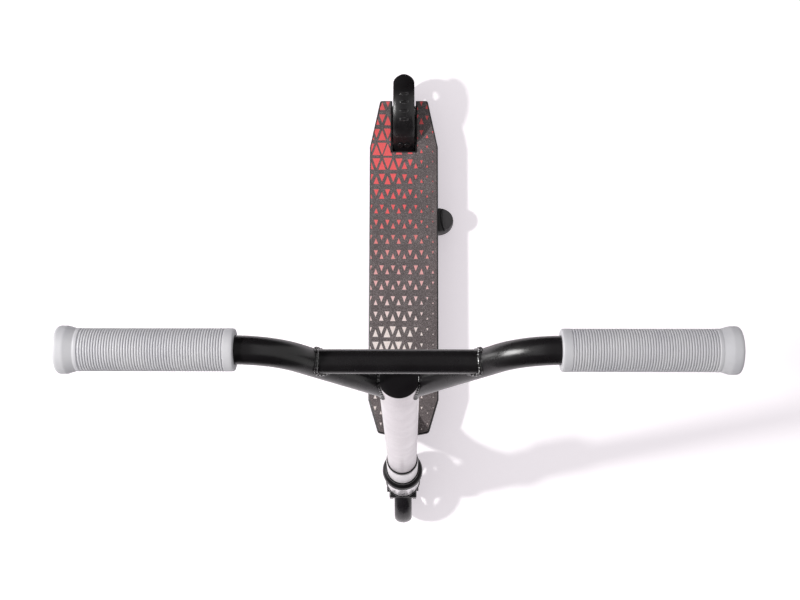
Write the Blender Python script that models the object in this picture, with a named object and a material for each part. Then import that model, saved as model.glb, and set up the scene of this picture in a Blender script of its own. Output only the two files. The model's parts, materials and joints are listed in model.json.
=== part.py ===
"""Stunt scooter, built as separate pieces on their real joints.

Metres, +Z up. The scooter faces -Y and its left side is +X. The floor is Z = 0.
Groups that turn hang on empties on their joint's axis: the steering empty stands on
the front axle with its local Z up the steering axis, and each wheel, the brake and
the side stand have one of their own.
"""
import math

import bmesh
import bpy
from mathutils import Matrix, Vector

# clearances
GAP = 0.0003              # between pieces that touch
TYRE_CLEARANCE = 0.0045   # tyre to fork crown
BRAKE_CLEARANCE = 0.005   # tyre to the released fender
PAST = 0.01               # how far a cutter runs past the faces it opens

# wheels
WHEEL_RADIUS = 0.050
TYRE_WIDTH = 0.024
TYRE_DEPTH = 0.011        # rubber, measured along the radius
TYRE_CROWN = 0.0075       # how far down the rounded tread reaches
RIM_WIDTH = 0.0205
RIM_DEPTH = 0.0055
WEB_WIDTH = 0.010
HUB_WALL = 0.0042
WINDOW_COUNT = 6
WINDOW_ANGLE = 40.0       # degrees that one window takes
WINDOW_MARGIN = 0.0025    # web left at the hub and the rim

# bearings and axles
BEARING_RADIUS = 0.011
BEARING_WIDTH = 0.007
AXLE_RADIUS = 0.004
SPACER_RADIUS = 0.0065
BOLT_HEAD_RADIUS = 0.0060
BOLT_HEAD_HEIGHT = 0.0028
NUT_RADIUS = 0.0072
NUT_HEIGHT = 0.004
BOLT_TIP = 0.0003         # beyond the nut

# deck
DECK_LENGTH = 0.4982
DECK_WIDTH = 0.1012
DECK_HEIGHT = 0.027
AXLE_RISE = 0.017         # rear axle above the deck's underside
NOSE_REACH = 0.0718       # deck's nose to the front axle
DECK_TAIL = 0.0118        # rear axle to the deck's rear end
DECK_WALL = 0.003
DECK_TOP_WALL = 0.0035
DECK_FLOOR_WALL = 0.0025
RIB_WALL = 0.003
REAR_END_WIDTH = 0.0710
REAR_TAPER = 0.0718
NOSE_WIDTH = 0.0734
NOSE_TAPER = 0.0468
NOSE_BULGE = 0.0045
CELL_FRONT = 0.052        # solid front end behind the nose
CORNER_ROUND = 0.0025
SLOT_SIDE_CLEARANCE = 0.00575   # tyre to the slot's side
SLOT_END_CLEARANCE = 0.0168     # tyre to the slot's front end
SLOT_LEDGE = 0.003              # how far the floor reaches into the slot from each side
ACCESS_CLEARANCE = 0.0004       # round the axle bolt's head

# grip tape
TAPE_THICKNESS = 0.0008
TAPE_MARGIN = 0.0021
TAPE_NOTCH_MARGIN = 0.002

# neck and head tube
LEAN = math.radians(8.5)
NECK_WIDTH = 0.036
NECK_FOOT = 0.050         # how far the neck runs back over the deck
NECK_ROUND = 0.004
NECK_TOP_DROP = 0.012     # from the head tube's upper end down to the neck
NECK_LOW_RISE = 0.008     # from its lower end up to the neck
NECK_SWEEP_REACH = 0.016  # how far the upper curve bows behind the head tube
NECK_SWEEP_RISE = 0.018
NECK_CHIN_REACH = 0.010   # how far the lower curve bows before the nose
NECK_CHIN_RISE = 0.014
NECK_CHIN_END = 0.003
HEAD_TUBE_RADIUS = 0.0221
HEAD_TUBE_WALL = 0.0032
HEAD_TUBE_LENGTH = 0.077

# headset
CUP_FLANGE_LIP = 0.0012   # beyond the head tube
UPPER_CUP_HEIGHT = 0.0095
LOWER_CUP_HEIGHT = 0.0058
CUP_SKIRT = 0.009
CUP_LEDGE = 0.0022
CUP_WALL = 0.0006
COVER_RADIUS = 0.0256
COVER_HEIGHT = 0.0132
COVER_TOP_RADIUS = 0.0208
SPACER_HEIGHT = 0.0088
RACE_HEIGHT = 0.002
RACE_FLANGE = 0.0009      # height of its flat rim
RACE_INSET = 0.0028       # its rim, inside the cup's flange

# fork
STEERER_RADIUS = 0.0143
STEERER_WALL = 0.003
CROWN_HEIGHT = 0.0098
CROWN_FRONT = 0.0226
CROWN_REAR = 0.020
CROWN_CHEEK = 0.008       # how far its sides run down before they taper
FORK_ROUND = 0.0016
FORK_LEG = 0.005
FORK_SIDE_CLEARANCE = 0.0015
DROPOUT_RADIUS = 0.014
STEERER_IN_CLAMP = 0.031
COMPRESSION_RISE = 0.001    # cap above the steerer's end
COMPRESSION_THICKNESS = 0.003
COMPRESSION_BOLT_RADIUS = 0.003
STAR_NUT_DEPTH = 0.020

# clamp
CLAMP_WALL = 0.0016
CLAMP_HEIGHT = 0.068
CLAMP_SLIT = 0.002
CLAMP_EAR_WIDTH = 0.024
CLAMP_EAR_LENGTH = 0.0095 # beyond the collar
CLAMP_EAR_MARGIN = 0.004
CLAMP_BOLT_MARGIN = 0.009 # ear's end to the bolt
CLAMP_BOLT_COUNT = 3
CLAMP_BOLT_RADIUS = 0.003
CLAMP_BOLT_HEAD = 0.005
CLAMP_BOLT_HEAD_HEIGHT = 0.005
RING_INSET = 0.0005
RING_HEIGHT = 0.0075

# handlebar
DOWNTUBE_RADIUS = 0.01745
DOWNTUBE_RISE = 0.0431    # its top above where the wings' centre lines meet
CAP_HEIGHT = 0.0016
CAP_SKIRT = 0.008
BAR_RADIUS = 0.0111
TUBE_WALL = 0.002
BAR_HEIGHT = 0.7843       # along the steering axis from the front axle
BAR_SPAN = 0.5134
BEND_RADIUS = 0.057
WING_ANGLE = math.radians(55.2)
BEND_LAP = 0.0022         # how far the bend ends under the grip
CROSSBAR_RADIUS = 0.0097
CROSSBAR_DROP = 0.0362    # from the bar down to the crossbar

# grips
GRIP_LENGTH = 0.1330
GRIP_RADIUS = 0.01635
GRIP_SEGMENTS = 20
GRIP_ROUND = 0.0012
GRIP_NECK = 0.0006        # how much the barrel thins before it flares
GRIP_FLARE = 0.00205      # how far the outer end stands over the barrel
GRIP_END_LENGTH = 0.0176
PLUG_FLANGE = 0.0017      # beyond the bar
PLUG_HEIGHT = 0.0008
PLUG_SHANK = 0.012

# brake
FENDER_SIDE_CLEARANCE = 0.00225   # inside the deck's slot
FENDER_THICKNESS = 0.003
FENDER_SPLIT_ANGLE = 30.0   # degrees above the forward horizontal, where the arch leaves the ramp
FENDER_TAIL_ANGLE = 118.0   # where the arch ends and the tail begins
FENDER_TAIL = 0.0140
FENDER_TAIL_TURN = 5.0     # degrees that the tail turns out of the arch's tangent
TREAD_COUNT = 4
TREAD_CENTRE = 77.5
TREAD_PITCH = 12.4
TREAD_WIDTH = 0.0132
TREAD_LENGTH = 0.0042
TREAD_RISE = 0.0011
BRACKET_THICKNESS = 0.0025
BRACKET_SIDE_CLEARANCE = 0.00275  # inside the deck's middle chamber
BRACKET_FOOT = 0.024
BRACKET_SHORT = 0.007       # how far below the split the bracket ends
BRAKE_SCREW_SPACING = 0.0100
BRAKE_SCREW_RADIUS = 0.0025
BRAKE_SCREW_HEAD = 0.0042
BRAKE_SCREW_HEAD_HEIGHT = 0.0024
BRAKE_SCREW_PLACE = 0.0164  # from the split down the ramp
MOUTH_LAP = 0.003           # how far the fender's foot reaches under the deck's top

# side stand
STAND_PLACE = 0.1799        # from the deck's rear end to the stand's middle
STAND_DROP = 0.0085         # deck's underside to the pivot
STAND_FOOT_CLEARANCE = 0.0005   # deck's side to the foot
STAND_ROD_LAP = 0.010       # rod inside the foot
STAND_SCREW_SPACING = 0.040
STAND_SCREW_RADIUS = 0.0025
STAND_ROD_RADIUS = 0.004
STAND_EYE_RADIUS = 0.0055
STAND_EYE_LENGTH = 0.016
STAND_PIN_RADIUS = 0.003
STAND_PLATE = 0.0025
STAND_PLATE_LENGTH = 0.052
STAND_PLATE_WIDTH = 0.030
STAND_EAR_RADIUS = 0.0065
STAND_FOOT_LENGTH = 0.0380
STAND_FOOT_REACH = 0.0227
STAND_FOOT_HEIGHT = 0.031
STAND_FOOT_RISE = 0.0095
STAND_FOOT_GROOVE = 0.0016

# derived sizes and places
DECK_CLEARANCE = WHEEL_RADIUS - AXLE_RISE
SLOT_WIDTH = TYRE_WIDTH + 2 * SLOT_SIDE_CLEARANCE
SLOT_LENGTH = DECK_TAIL + WHEEL_RADIUS + SLOT_END_CLEARANCE
WHEEL_BASE = DECK_LENGTH - DECK_TAIL + NOSE_REACH
FENDER_WIDTH = SLOT_WIDTH - 2 * FENDER_SIDE_CLEARANCE
BRACKET_WIDTH = SLOT_WIDTH - 2 * BRACKET_SIDE_CLEARANCE
ACCESS_RADIUS = BOLT_HEAD_RADIUS + ACCESS_CLEARANCE
HUB_RADIUS = BEARING_RADIUS + GAP + HUB_WALL
STAND_REACH = 0.5 * DECK_WIDTH + STAND_FOOT_CLEARANCE
PLUG_RADIUS = BAR_RADIUS + PLUG_FLANGE
FENDER_RADIUS = WHEEL_RADIUS + BRAKE_CLEARANCE + 0.5 * FENDER_THICKNESS
TAIL_END_ANGLE = math.radians(FENDER_TAIL_ANGLE)
TAIL_TURN = math.radians(FENDER_TAIL_ANGLE - FENDER_TAIL_TURN)
TAIL_REACH = -FENDER_RADIUS * math.cos(TAIL_END_ANGLE) + FENDER_TAIL * math.sin(TAIL_TURN)
REAR_REACH = max(TAIL_REACH, WHEEL_RADIUS)
FRONT_AXLE_Y = 0.5 * (WHEEL_RADIUS - WHEEL_BASE - REAR_REACH)
REAR_AXLE_Y = FRONT_AXLE_Y + WHEEL_BASE
DECK_REAR_Y = REAR_AXLE_Y + DECK_TAIL
DECK_NOSE_Y = DECK_REAR_Y - DECK_LENGTH
DECK_TOP = DECK_CLEARANCE + DECK_HEIGHT
TAPE_BOTTOM = DECK_TOP + GAP
TAPE_TOP = TAPE_BOTTOM + TAPE_THICKNESS
SLOT_FRONT_Y = DECK_REAR_Y - SLOT_LENGTH
CORE_RADIUS = WHEEL_RADIUS - TYRE_DEPTH
HUB_HALF = 0.5 * TYRE_WIDTH
BEARING_SEAT = HUB_HALF - BEARING_WIDTH
BORE_RADIUS = AXLE_RADIUS + GAP
CROWN_BOTTOM = WHEEL_RADIUS + TYRE_CLEARANCE
CROWN_TOP = CROWN_BOTTOM + CROWN_HEIGHT
FORK_INNER_HALF = HUB_HALF + FORK_SIDE_CLEARANCE
FORK_OUTER_HALF = FORK_INNER_HALF + FORK_LEG
RACE_TOP = CROWN_TOP + GAP + RACE_HEIGHT
LOWER_CUP_BOTTOM = RACE_TOP + GAP
HEAD_BOTTOM = LOWER_CUP_BOTTOM + LOWER_CUP_HEIGHT + GAP
HEAD_TOP = HEAD_BOTTOM + HEAD_TUBE_LENGTH
UPPER_CUP_TOP = HEAD_TOP + GAP + UPPER_CUP_HEIGHT
COVER_BOTTOM = UPPER_CUP_TOP + GAP
COVER_TOP = COVER_BOTTOM + COVER_HEIGHT
SPACER_TOP = COVER_TOP + GAP + SPACER_HEIGHT
CLAMP_BOTTOM = SPACER_TOP + GAP
CLAMP_TOP = CLAMP_BOTTOM + CLAMP_HEIGHT
STEERER_TOP = CLAMP_BOTTOM + STEERER_IN_CLAMP
CLAMP_BORE = DOWNTUBE_RADIUS + GAP
CLAMP_RADIUS = CLAMP_BORE + CLAMP_WALL
CLAMP_EAR_REACH = CLAMP_RADIUS + CLAMP_EAR_LENGTH
RING_RADIUS = CLAMP_RADIUS - RING_INSET
STEERER_BORE = STEERER_RADIUS - STEERER_WALL
COMPRESSION_BOTTOM = STEERER_TOP + GAP + COMPRESSION_RISE
COMPRESSION_TOP = COMPRESSION_BOTTOM + COMPRESSION_THICKNESS
DOWNTUBE_BOTTOM = COMPRESSION_TOP + GAP
DOWNTUBE_BORE = DOWNTUBE_RADIUS - TUBE_WALL
HEAD_BORE = HEAD_TUBE_RADIUS - HEAD_TUBE_WALL
CUP_FLANGE_RADIUS = HEAD_TUBE_RADIUS + CUP_FLANGE_LIP
HEADSET_BEARING_RADIUS = HEAD_BORE - CUP_WALL - GAP
GRIP_INNER_X = 0.5 * BAR_SPAN - PLUG_HEIGHT - GAP - GRIP_LENGTH
BEND_TANGENT = BEND_RADIUS * math.tan(0.5 * WING_ANGLE)
WING_CORNER = GRIP_INNER_X + BEND_LAP - BEND_TANGENT
DOWNTUBE_TOP = BAR_HEIGHT - WING_CORNER * math.tan(WING_ANGLE) + DOWNTUBE_RISE
CROSSBAR_HEIGHT = BAR_HEIGHT - CROSSBAR_DROP
STAND_Y = DECK_REAR_Y - STAND_PLACE
STAND_Z = DECK_CLEARANCE - STAND_DROP

COLOURS = {
    "black_paint": ((0.012, 0.012, 0.013), 0.32, 0.0),
    "black_metal": ((0.02, 0.02, 0.021), 0.35, 0.7),
    "tape": ((0.075, 0.070, 0.068), 0.95, 0.0),
    "silver": ((0.62, 0.62, 0.64), 0.25, 1.0),
    "grey_paint": ((0.50, 0.50, 0.51), 0.38, 0.0),
    "steel": ((0.55, 0.55, 0.56), 0.30, 1.0),
    "tyre": ((0.016, 0.016, 0.018), 0.45, 0.0),
    "core": ((0.03, 0.03, 0.032), 0.4, 0.0),
    "rubber": ((0.015, 0.015, 0.015), 0.7, 0.0),
    "grip": ((0.56, 0.58, 0.62), 0.6, 0.0),
}


def clear_scene():
    for item in list(bpy.data.objects):
        bpy.data.objects.remove(item, do_unlink=True)


def material(part_name, look):
    colour, roughness, metallic = COLOURS[look]
    made = bpy.data.materials.new(part_name)
    made.use_nodes = True
    shader = made.node_tree.nodes["Principled BSDF"]
    shader.inputs["Base Color"].default_value = (*colour, 1.0)
    shader.inputs["Roughness"].default_value = roughness
    shader.inputs["Metallic"].default_value = metallic
    made.diffuse_color = (*colour, 1.0)
    return made


def add_object(name, mesh):
    item = bpy.data.objects.new(name, mesh)
    bpy.context.scene.collection.objects.link(item)
    return item


def from_bmesh(name, bm):
    bmesh.ops.recalc_face_normals(bm, faces=bm.faces)
    mesh = bpy.data.meshes.new(name)
    bm.to_mesh(mesh)
    bm.free()
    return add_object(name, mesh)


def lathe(name, profile, segments=20):
    """Revolves a closed profile of (radius, height) points about Z. Points on the axis close it."""
    bm = bmesh.new()
    verts = [bm.verts.new((r, 0.0, z)) for r, z in profile]
    edges = [bm.edges.new((a, b)) for a, b in zip(verts, verts[1:])]
    if min(r for r, z in profile) > 1e-7:
        edges.append(bm.edges.new((verts[-1], verts[0])))
    bmesh.ops.spin(bm, geom=verts + edges, axis=(0, 0, 1), cent=(0, 0, 0),
                   steps=segments, angle=math.tau, use_duplicate=False)
    bmesh.ops.remove_doubles(bm, verts=bm.verts, dist=1e-6)
    return from_bmesh(name, bm)


def ring(name, inner, outer, bottom, top, segments=20):
    return lathe(name, [(inner, bottom), (outer, bottom), (outer, top), (inner, top)], segments)


def disc(name, radius, bottom, top, segments=20):
    return lathe(name, [(0.0, bottom), (radius, bottom), (radius, top), (0.0, top)], segments)


def prism(name, outline, low, high, plane="XY"):
    """Extrudes a closed outline. The plane names the outline's two axes."""
    place = {
        "XY": lambda a, b, c: (a, b, c),
        "YZ": lambda a, b, c: (c, a, b),
        "XZ": lambda a, b, c: (a, c, b),
    }[plane]
    bm = bmesh.new()
    face = bm.faces.new([bm.verts.new(place(a, b, low)) for a, b in outline])
    grown = bmesh.ops.extrude_face_region(bm, geom=[face])
    shift = Vector(place(0.0, 0.0, high - low))
    top = [v for v in grown["geom"] if isinstance(v, bmesh.types.BMVert)]
    bmesh.ops.translate(bm, verts=top, vec=shift)
    return from_bmesh(name, bm)


def box(name, x, y, z):
    """A box from three (low, high) pairs."""
    return prism(name, [(x[0], y[0]), (x[1], y[0]), (x[1], y[1]), (x[0], y[1])], z[0], z[1])


def move(item, matrix):
    item.data.transform(matrix)
    item.data.update()
    return item


def along_x(item, x=0.0, y=0.0, z=0.0):
    """Lays a lathed piece down so that its local +Z points along +X."""
    return move(item, Matrix.Translation((x, y, z)) @ Matrix.Rotation(math.pi / 2, 4, "Y"))


def along_y(item, x=0.0, y=0.0, z=0.0):
    return move(item, Matrix.Translation((x, y, z)) @ Matrix.Rotation(-math.pi / 2, 4, "X"))


def bake(item):
    """Replaces an object's mesh with what its modifiers make of it."""
    graph = bpy.context.evaluated_depsgraph_get()
    mesh = bpy.data.meshes.new_from_object(item.evaluated_get(graph), depsgraph=graph)
    item.modifiers.clear()
    item.data = mesh
    return item


def combine(item, other, operation):
    step = item.modifiers.new(operation.lower(), "BOOLEAN")
    step.operation = operation
    step.solver = "EXACT"
    step.object = other
    bake(item)
    bpy.data.objects.remove(other, do_unlink=True)
    return item


def cut(item, other):
    return combine(item, other, "DIFFERENCE")


def fuse(item, other):
    return combine(item, other, "UNION")


def round_edges(item, width, segments=2, angle=30.0):
    step = item.modifiers.new("round", "BEVEL")
    step.width = width
    step.segments = segments
    step.limit_method = "ANGLE"
    step.angle_limit = math.radians(angle)
    step.harden_normals = False
    return bake(item)


def finish(item, look, parent=None, smooth=True):
    """Names the piece's material, smooths its round faces and hangs it on its joint's empty."""
    item.data.name = item.name
    item.data.materials.clear()
    item.data.materials.append(material(item.name, look))
    if smooth:
        item.data.shade_smooth()
        item.data.set_sharp_from_angle(angle=math.radians(32))
    if parent is not None:
        item.parent = parent
    return item


def quadratic(start, control, end, count):
    """Points on a quadratic curve, its start left out and its end kept."""
    a, b, c = Vector(start), Vector(control), Vector(end)
    steps = [i / count for i in range(1, count + 1)]
    return [tuple(a * (1 - t) ** 2 + b * 2 * t * (1 - t) + c * t * t) for t in steps]


def empty(name, place, parent=None, turn=0.0):
    item = bpy.data.objects.new(name, None)
    bpy.context.scene.collection.objects.link(item)
    item.empty_display_size = 0.03
    item.location = place
    item.rotation_euler = (turn, 0.0, 0.0)
    item.parent = parent
    return item


def at_split(item):
    """Moves a piece drawn round the rear axle into the frame of the brake's hinge."""
    return move(item, Matrix.Translation(-fender_point(math.radians(FENDER_SPLIT_ANGLE))))


# deck

def deck_outline(inset):
    """The deck's plan, inset from its edge, from the rear end round the nose."""
    half = 0.5 * DECK_WIDTH - inset
    rear = 0.5 * REAR_END_WIDTH - inset
    nose = 0.5 * NOSE_WIDTH - inset
    rear_y = DECK_REAR_Y - inset
    nose_y = DECK_NOSE_Y + NOSE_BULGE + inset
    right = [(rear, rear_y), (half, DECK_REAR_Y - REAR_TAPER), (half, nose_y + NOSE_TAPER), (nose, nose_y)]
    left = [(-x, y) for x, y in reversed(right)]
    bulge = quadratic((nose, nose_y), (0.0, nose_y - 2 * NOSE_BULGE), (-nose, nose_y), 8)
    return right + bulge[:-1] + left


def side_cell(side):
    """One outer chamber of the extrusion, open at its rear end."""
    inner = 0.5 * SLOT_WIDTH + RIB_WALL
    outer = 0.5 * DECK_WIDTH - DECK_WALL
    rear = 0.5 * REAR_END_WIDTH - DECK_WALL
    past = DECK_REAR_Y + PAST
    front = DECK_NOSE_Y + CELL_FRONT
    outline = [(inner, past), (rear, past), (rear, DECK_REAR_Y), (outer, DECK_REAR_Y - REAR_TAPER),
               (outer, front), (inner, front)]
    outline = [(side * x, y) for x, y in outline]
    return prism("cell", outline, DECK_CLEARANCE + DECK_FLOOR_WALL, DECK_TOP - DECK_TOP_WALL)


def deck():
    item = prism("deck", deck_outline(0.0), DECK_CLEARANCE, DECK_TOP)
    item = round_edges(item, CORNER_ROUND, 2, 50.0)
    slot = 0.5 * SLOT_WIDTH
    for side in (-1, 1):
        cut(item, side_cell(side))
    cut(item, box("centre_cell", (-slot, slot), (DECK_NOSE_Y + CELL_FRONT, DECK_REAR_Y + PAST),
                  (DECK_CLEARANCE + DECK_FLOOR_WALL, DECK_TOP - DECK_TOP_WALL)))
    floor = DECK_CLEARANCE + DECK_FLOOR_WALL
    through = slot - SLOT_LEDGE
    cut(item, box("slot", (-slot, slot), (SLOT_FRONT_Y, DECK_REAR_Y + PAST), (floor, DECK_TOP + PAST)))
    cut(item, box("floor_slot", (-through, through), (SLOT_FRONT_Y, DECK_REAR_Y + PAST),
                  (DECK_CLEARANCE - PAST, floor + PAST)))
    reach = 0.5 * DECK_WIDTH + PAST
    cut(item, along_x(disc("axle_hole", BORE_RADIUS, -reach, reach, 18), 0, REAR_AXLE_Y, WHEEL_RADIUS))
    for side in (-1, 1):
        low, high = sorted((side * (slot + RIB_WALL + GAP), side * reach))
        cut(item, along_x(disc("access", ACCESS_RADIUS, low, high, 18), 0, REAR_AXLE_Y, WHEEL_RADIUS))
    return finish(item, "black_paint")


def grip_tape():
    item = prism("grip_tape", deck_outline(TAPE_MARGIN), TAPE_BOTTOM, TAPE_TOP)
    slot = 0.5 * SLOT_WIDTH + TAPE_MARGIN
    through = (TAPE_BOTTOM - PAST, TAPE_TOP + PAST)
    cut(item, box("slot", (-slot, slot), (SLOT_FRONT_Y - TAPE_MARGIN, DECK_REAR_Y + PAST), through))
    notch = 0.5 * NECK_WIDTH + TAPE_NOTCH_MARGIN
    back = DECK_NOSE_Y + NECK_FOOT + TAPE_NOTCH_MARGIN
    cut(item, box("notch", (-notch, notch), (DECK_NOSE_Y - PAST, back), through))
    return finish(item, "tape", smooth=False)


# frame

def steering_matrix():
    return Matrix.Translation((0.0, FRONT_AXLE_Y, WHEEL_RADIUS)) @ Matrix.Rotation(-LEAN, 4, "X")


def axis_point(height, back=0.0):
    """The (Y, Z) of a point on the steering axis, or behind it."""
    point = steering_matrix() @ Vector((0.0, back, height))
    return point.y, point.z


def neck():
    """A box-section gusset from the deck's nose up to the back of the head tube."""
    nose = DECK_NOSE_Y - GAP
    foot = (DECK_NOSE_Y + NECK_FOOT, DECK_TOP + GAP)
    top = axis_point(HEAD_TOP - NECK_TOP_DROP, HEAD_TUBE_RADIUS)
    top_in = axis_point(HEAD_TOP - NECK_TOP_DROP)
    low_in = axis_point(HEAD_BOTTOM + NECK_LOW_RISE)
    low = axis_point(HEAD_BOTTOM + NECK_LOW_RISE, HEAD_TUBE_RADIUS)
    outline = [foot]
    outline += quadratic(foot, (top[0] + NECK_SWEEP_REACH, DECK_TOP + NECK_SWEEP_RISE), top, 9)
    outline += [top_in, low_in, low]
    chin = (nose - NECK_CHIN_REACH, DECK_CLEARANCE + NECK_CHIN_RISE)
    outline += quadratic(low, chin, (nose, DECK_CLEARANCE + NECK_CHIN_END), 6)
    outline += [(nose, DECK_TOP + GAP)]
    half = 0.5 * NECK_WIDTH
    item = prism("neck", outline, -half, half, "YZ")
    item = round_edges(item, NECK_ROUND, 3, 60.0)
    core = disc("cope", HEAD_TUBE_RADIUS + GAP, HEAD_BOTTOM - PAST, HEAD_TOP + PAST, 40)
    cut(item, move(core, steering_matrix()))
    return finish(item, "black_paint")


def head_tube():
    item = ring("head_tube", HEAD_BORE, HEAD_TUBE_RADIUS, HEAD_BOTTOM, HEAD_TOP, 26)
    return finish(move(item, steering_matrix()), "silver")


def cup(name, face, way, height):
    """A headset cup whose flange lies on the head tube's end and whose skirt goes into it."""
    skirt = HEAD_BORE - GAP
    seat = HEADSET_BEARING_RADIUS + GAP
    ledge = face + way * (height - BEARING_WIDTH - GAP)
    end = face - way * CUP_SKIRT
    lip = face + way * height
    inner = seat - CUP_LEDGE
    profile = [(CUP_FLANGE_RADIUS, face), (CUP_FLANGE_RADIUS, lip), (seat, lip), (seat, ledge),
               (inner, ledge), (inner, end), (skirt, end), (skirt, face)]
    return finish(move(lathe(name, profile, 26), steering_matrix()), "black_metal")


def headset():
    cup("upper_cup", HEAD_TOP + GAP, 1, UPPER_CUP_HEIGHT)
    cup("lower_cup", HEAD_BOTTOM - GAP, -1, LOWER_CUP_HEIGHT)
    for name, top in (("upper_bearing", UPPER_CUP_TOP), ("lower_bearing", LOWER_CUP_BOTTOM + BEARING_WIDTH)):
        item = ring(name, STEERER_RADIUS + GAP, HEADSET_BEARING_RADIUS, top - BEARING_WIDTH, top, 22)
        finish(move(item, steering_matrix()), "steel")


# wheels

def tyre(name, parent):
    inner = CORE_RADIUS + GAP
    half = 0.5 * TYRE_WIDTH
    base = 0.5 * RIM_WIDTH
    shoulder = WHEEL_RADIUS - TYRE_CROWN
    crown = [(shoulder + (WHEEL_RADIUS - shoulder) * math.sin(a), half * math.cos(a))
             for a in (math.pi * i / 6 for i in range(7))]
    profile = [(inner, base)] + crown + [(inner, -base)]
    return finish(along_x(lathe(name, profile, 36)), "tyre", parent)


def window(angle):
    """The cutter of one opening between two spokes."""
    inner = HUB_RADIUS + WINDOW_MARGIN
    outer = CORE_RADIUS - RIM_DEPTH - WINDOW_MARGIN
    half = 0.5 * math.radians(WINDOW_ANGLE)
    steps = [angle + half * (i / 2 - 1) for i in range(5)]
    outline = [(outer * math.cos(a), outer * math.sin(a)) for a in steps]
    outline += [(inner * math.cos(a), inner * math.sin(a)) for a in (angle + 0.8 * half, angle - 0.8 * half)]
    return prism("window", outline, -TYRE_WIDTH, TYRE_WIDTH)


def core(name, parent):
    rim = CORE_RADIUS - RIM_DEPTH
    seat = BEARING_RADIUS + GAP
    half_rim = 0.5 * RIM_WIDTH
    half_web = 0.5 * WEB_WIDTH
    inside = BEARING_SEAT - GAP
    bore = seat - 0.0018
    upper = [(bore, inside), (seat, inside), (seat, HUB_HALF), (HUB_RADIUS, HUB_HALF),
             (HUB_RADIUS + 0.001, half_web), (rim - 0.001, half_web), (rim, half_rim), (CORE_RADIUS, half_rim)]
    profile = upper + [(r, -z) for r, z in reversed(upper)]
    item = lathe(name, profile, 26)
    for index in range(WINDOW_COUNT):
        cut(item, window(math.tau * index / WINDOW_COUNT))
    return finish(along_x(item), "core", parent)


def bearings(prefix, parent):
    for side, name in ((1, "left"), (-1, "right")):
        low, high = sorted((side * BEARING_SEAT, side * HUB_HALF))
        item = ring(f"{prefix}_bearing_{name}", BORE_RADIUS, BEARING_RADIUS, low, high, 18)
        finish(along_x(item), "steel", parent)
    sleeve_half = BEARING_SEAT - GAP
    item = ring(f"{prefix}_bearing_sleeve", BORE_RADIUS, BORE_RADIUS + 0.002, -sleeve_half, sleeve_half, 14)
    finish(along_x(item), "steel", parent)


def wheel(prefix, parent):
    tyre(f"{prefix}_tyre", parent)
    core(f"{prefix}_core", parent)
    bearings(prefix, parent)


def bolt_profile(radius, length, head_radius, head_height, socket):
    """A socket-headed bolt standing on its head's seat at zero, its shank running down."""
    rim = 0.0006
    depth = 0.55 * head_height
    return [(0.0, head_height - depth), (socket, head_height - depth), (socket, head_height),
            (head_radius - rim, head_height), (head_radius, head_height - rim), (head_radius, 0.0),
            (radius, 0.0), (radius, -length), (0.0, -length)]


def hex_nut(name, radius, height, bore):
    turns = [math.tau * (i + 0.5) / 6 for i in range(6)]
    corners = [(radius * math.cos(a), radius * math.sin(a)) for a in turns]
    item = prism(name, corners, 0.0, height)
    return cut(item, disc("bore", bore, -PAST, height + PAST, 18))


def axle(prefix, half_width, parent, place=(0.0, 0.0, 0.0)):
    """The bolt from the left through both sides, with its nut on the right."""
    seat = half_width + GAP
    length = 2 * seat + NUT_HEIGHT + BOLT_TIP
    profile = bolt_profile(AXLE_RADIUS, length, BOLT_HEAD_RADIUS, BOLT_HEAD_HEIGHT, 0.0033)
    bolt = lathe(f"{prefix}_axle_bolt", profile, 18)
    finish(along_x(bolt, place[0] + seat, place[1], place[2]), "black_metal", parent)
    nut = hex_nut(f"{prefix}_axle_nut", NUT_RADIUS, NUT_HEIGHT, BORE_RADIUS)
    finish(along_x(nut, place[0] - seat - NUT_HEIGHT, place[1], place[2]), "black_metal", parent, False)


def axle_spacers(prefix, inner_half, parent, place=(0.0, 0.0, 0.0)):
    """The rings between each bearing and the side that carries the axle."""
    for side, name in ((1, "left"), (-1, "right")):
        low, high = sorted((side * (HUB_HALF + GAP), side * (inner_half - GAP)))
        item = ring(f"{prefix}_spacer_{name}", BORE_RADIUS, SPACER_RADIUS, low, high, 18)
        finish(along_x(item, *place), "steel", parent)


# steering group, drawn round the front axle with Z up the steering axis

def fork(parent):
    """Crown and two legs from one block, with the steerer tube on top."""
    arc = [math.radians(a) for a in range(180, 361, 20)]
    outline = [(CROWN_REAR, CROWN_TOP), (-CROWN_FRONT, CROWN_TOP), (-CROWN_FRONT, CROWN_BOTTOM - CROWN_CHEEK)]
    outline += [(DROPOUT_RADIUS * math.cos(a), DROPOUT_RADIUS * math.sin(a)) for a in arc]
    outline += [(CROWN_REAR, CROWN_BOTTOM - CROWN_CHEEK)]
    item = prism("fork", outline, -FORK_OUTER_HALF, FORK_OUTER_HALF, "YZ")
    item = round_edges(item, FORK_ROUND, 2, 40.0)
    cut(item, box("wheel_slot", (-FORK_INNER_HALF, FORK_INNER_HALF), (-WHEEL_RADIUS, WHEEL_RADIUS),
                  (-WHEEL_RADIUS, CROWN_BOTTOM)))
    cut(item, along_x(disc("axle_hole", BORE_RADIUS, -FORK_OUTER_HALF - PAST, FORK_OUTER_HALF + PAST, 18)))
    fuse(item, disc("steerer", STEERER_RADIUS, CROWN_TOP - 0.5 * CROWN_HEIGHT, STEERER_TOP, 22))
    cut(item, disc("steerer_bore", STEERER_BORE, CROWN_TOP + 0.5 * CROWN_HEIGHT, STEERER_TOP + PAST, 22))
    return finish(item, "black_paint", parent)


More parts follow.
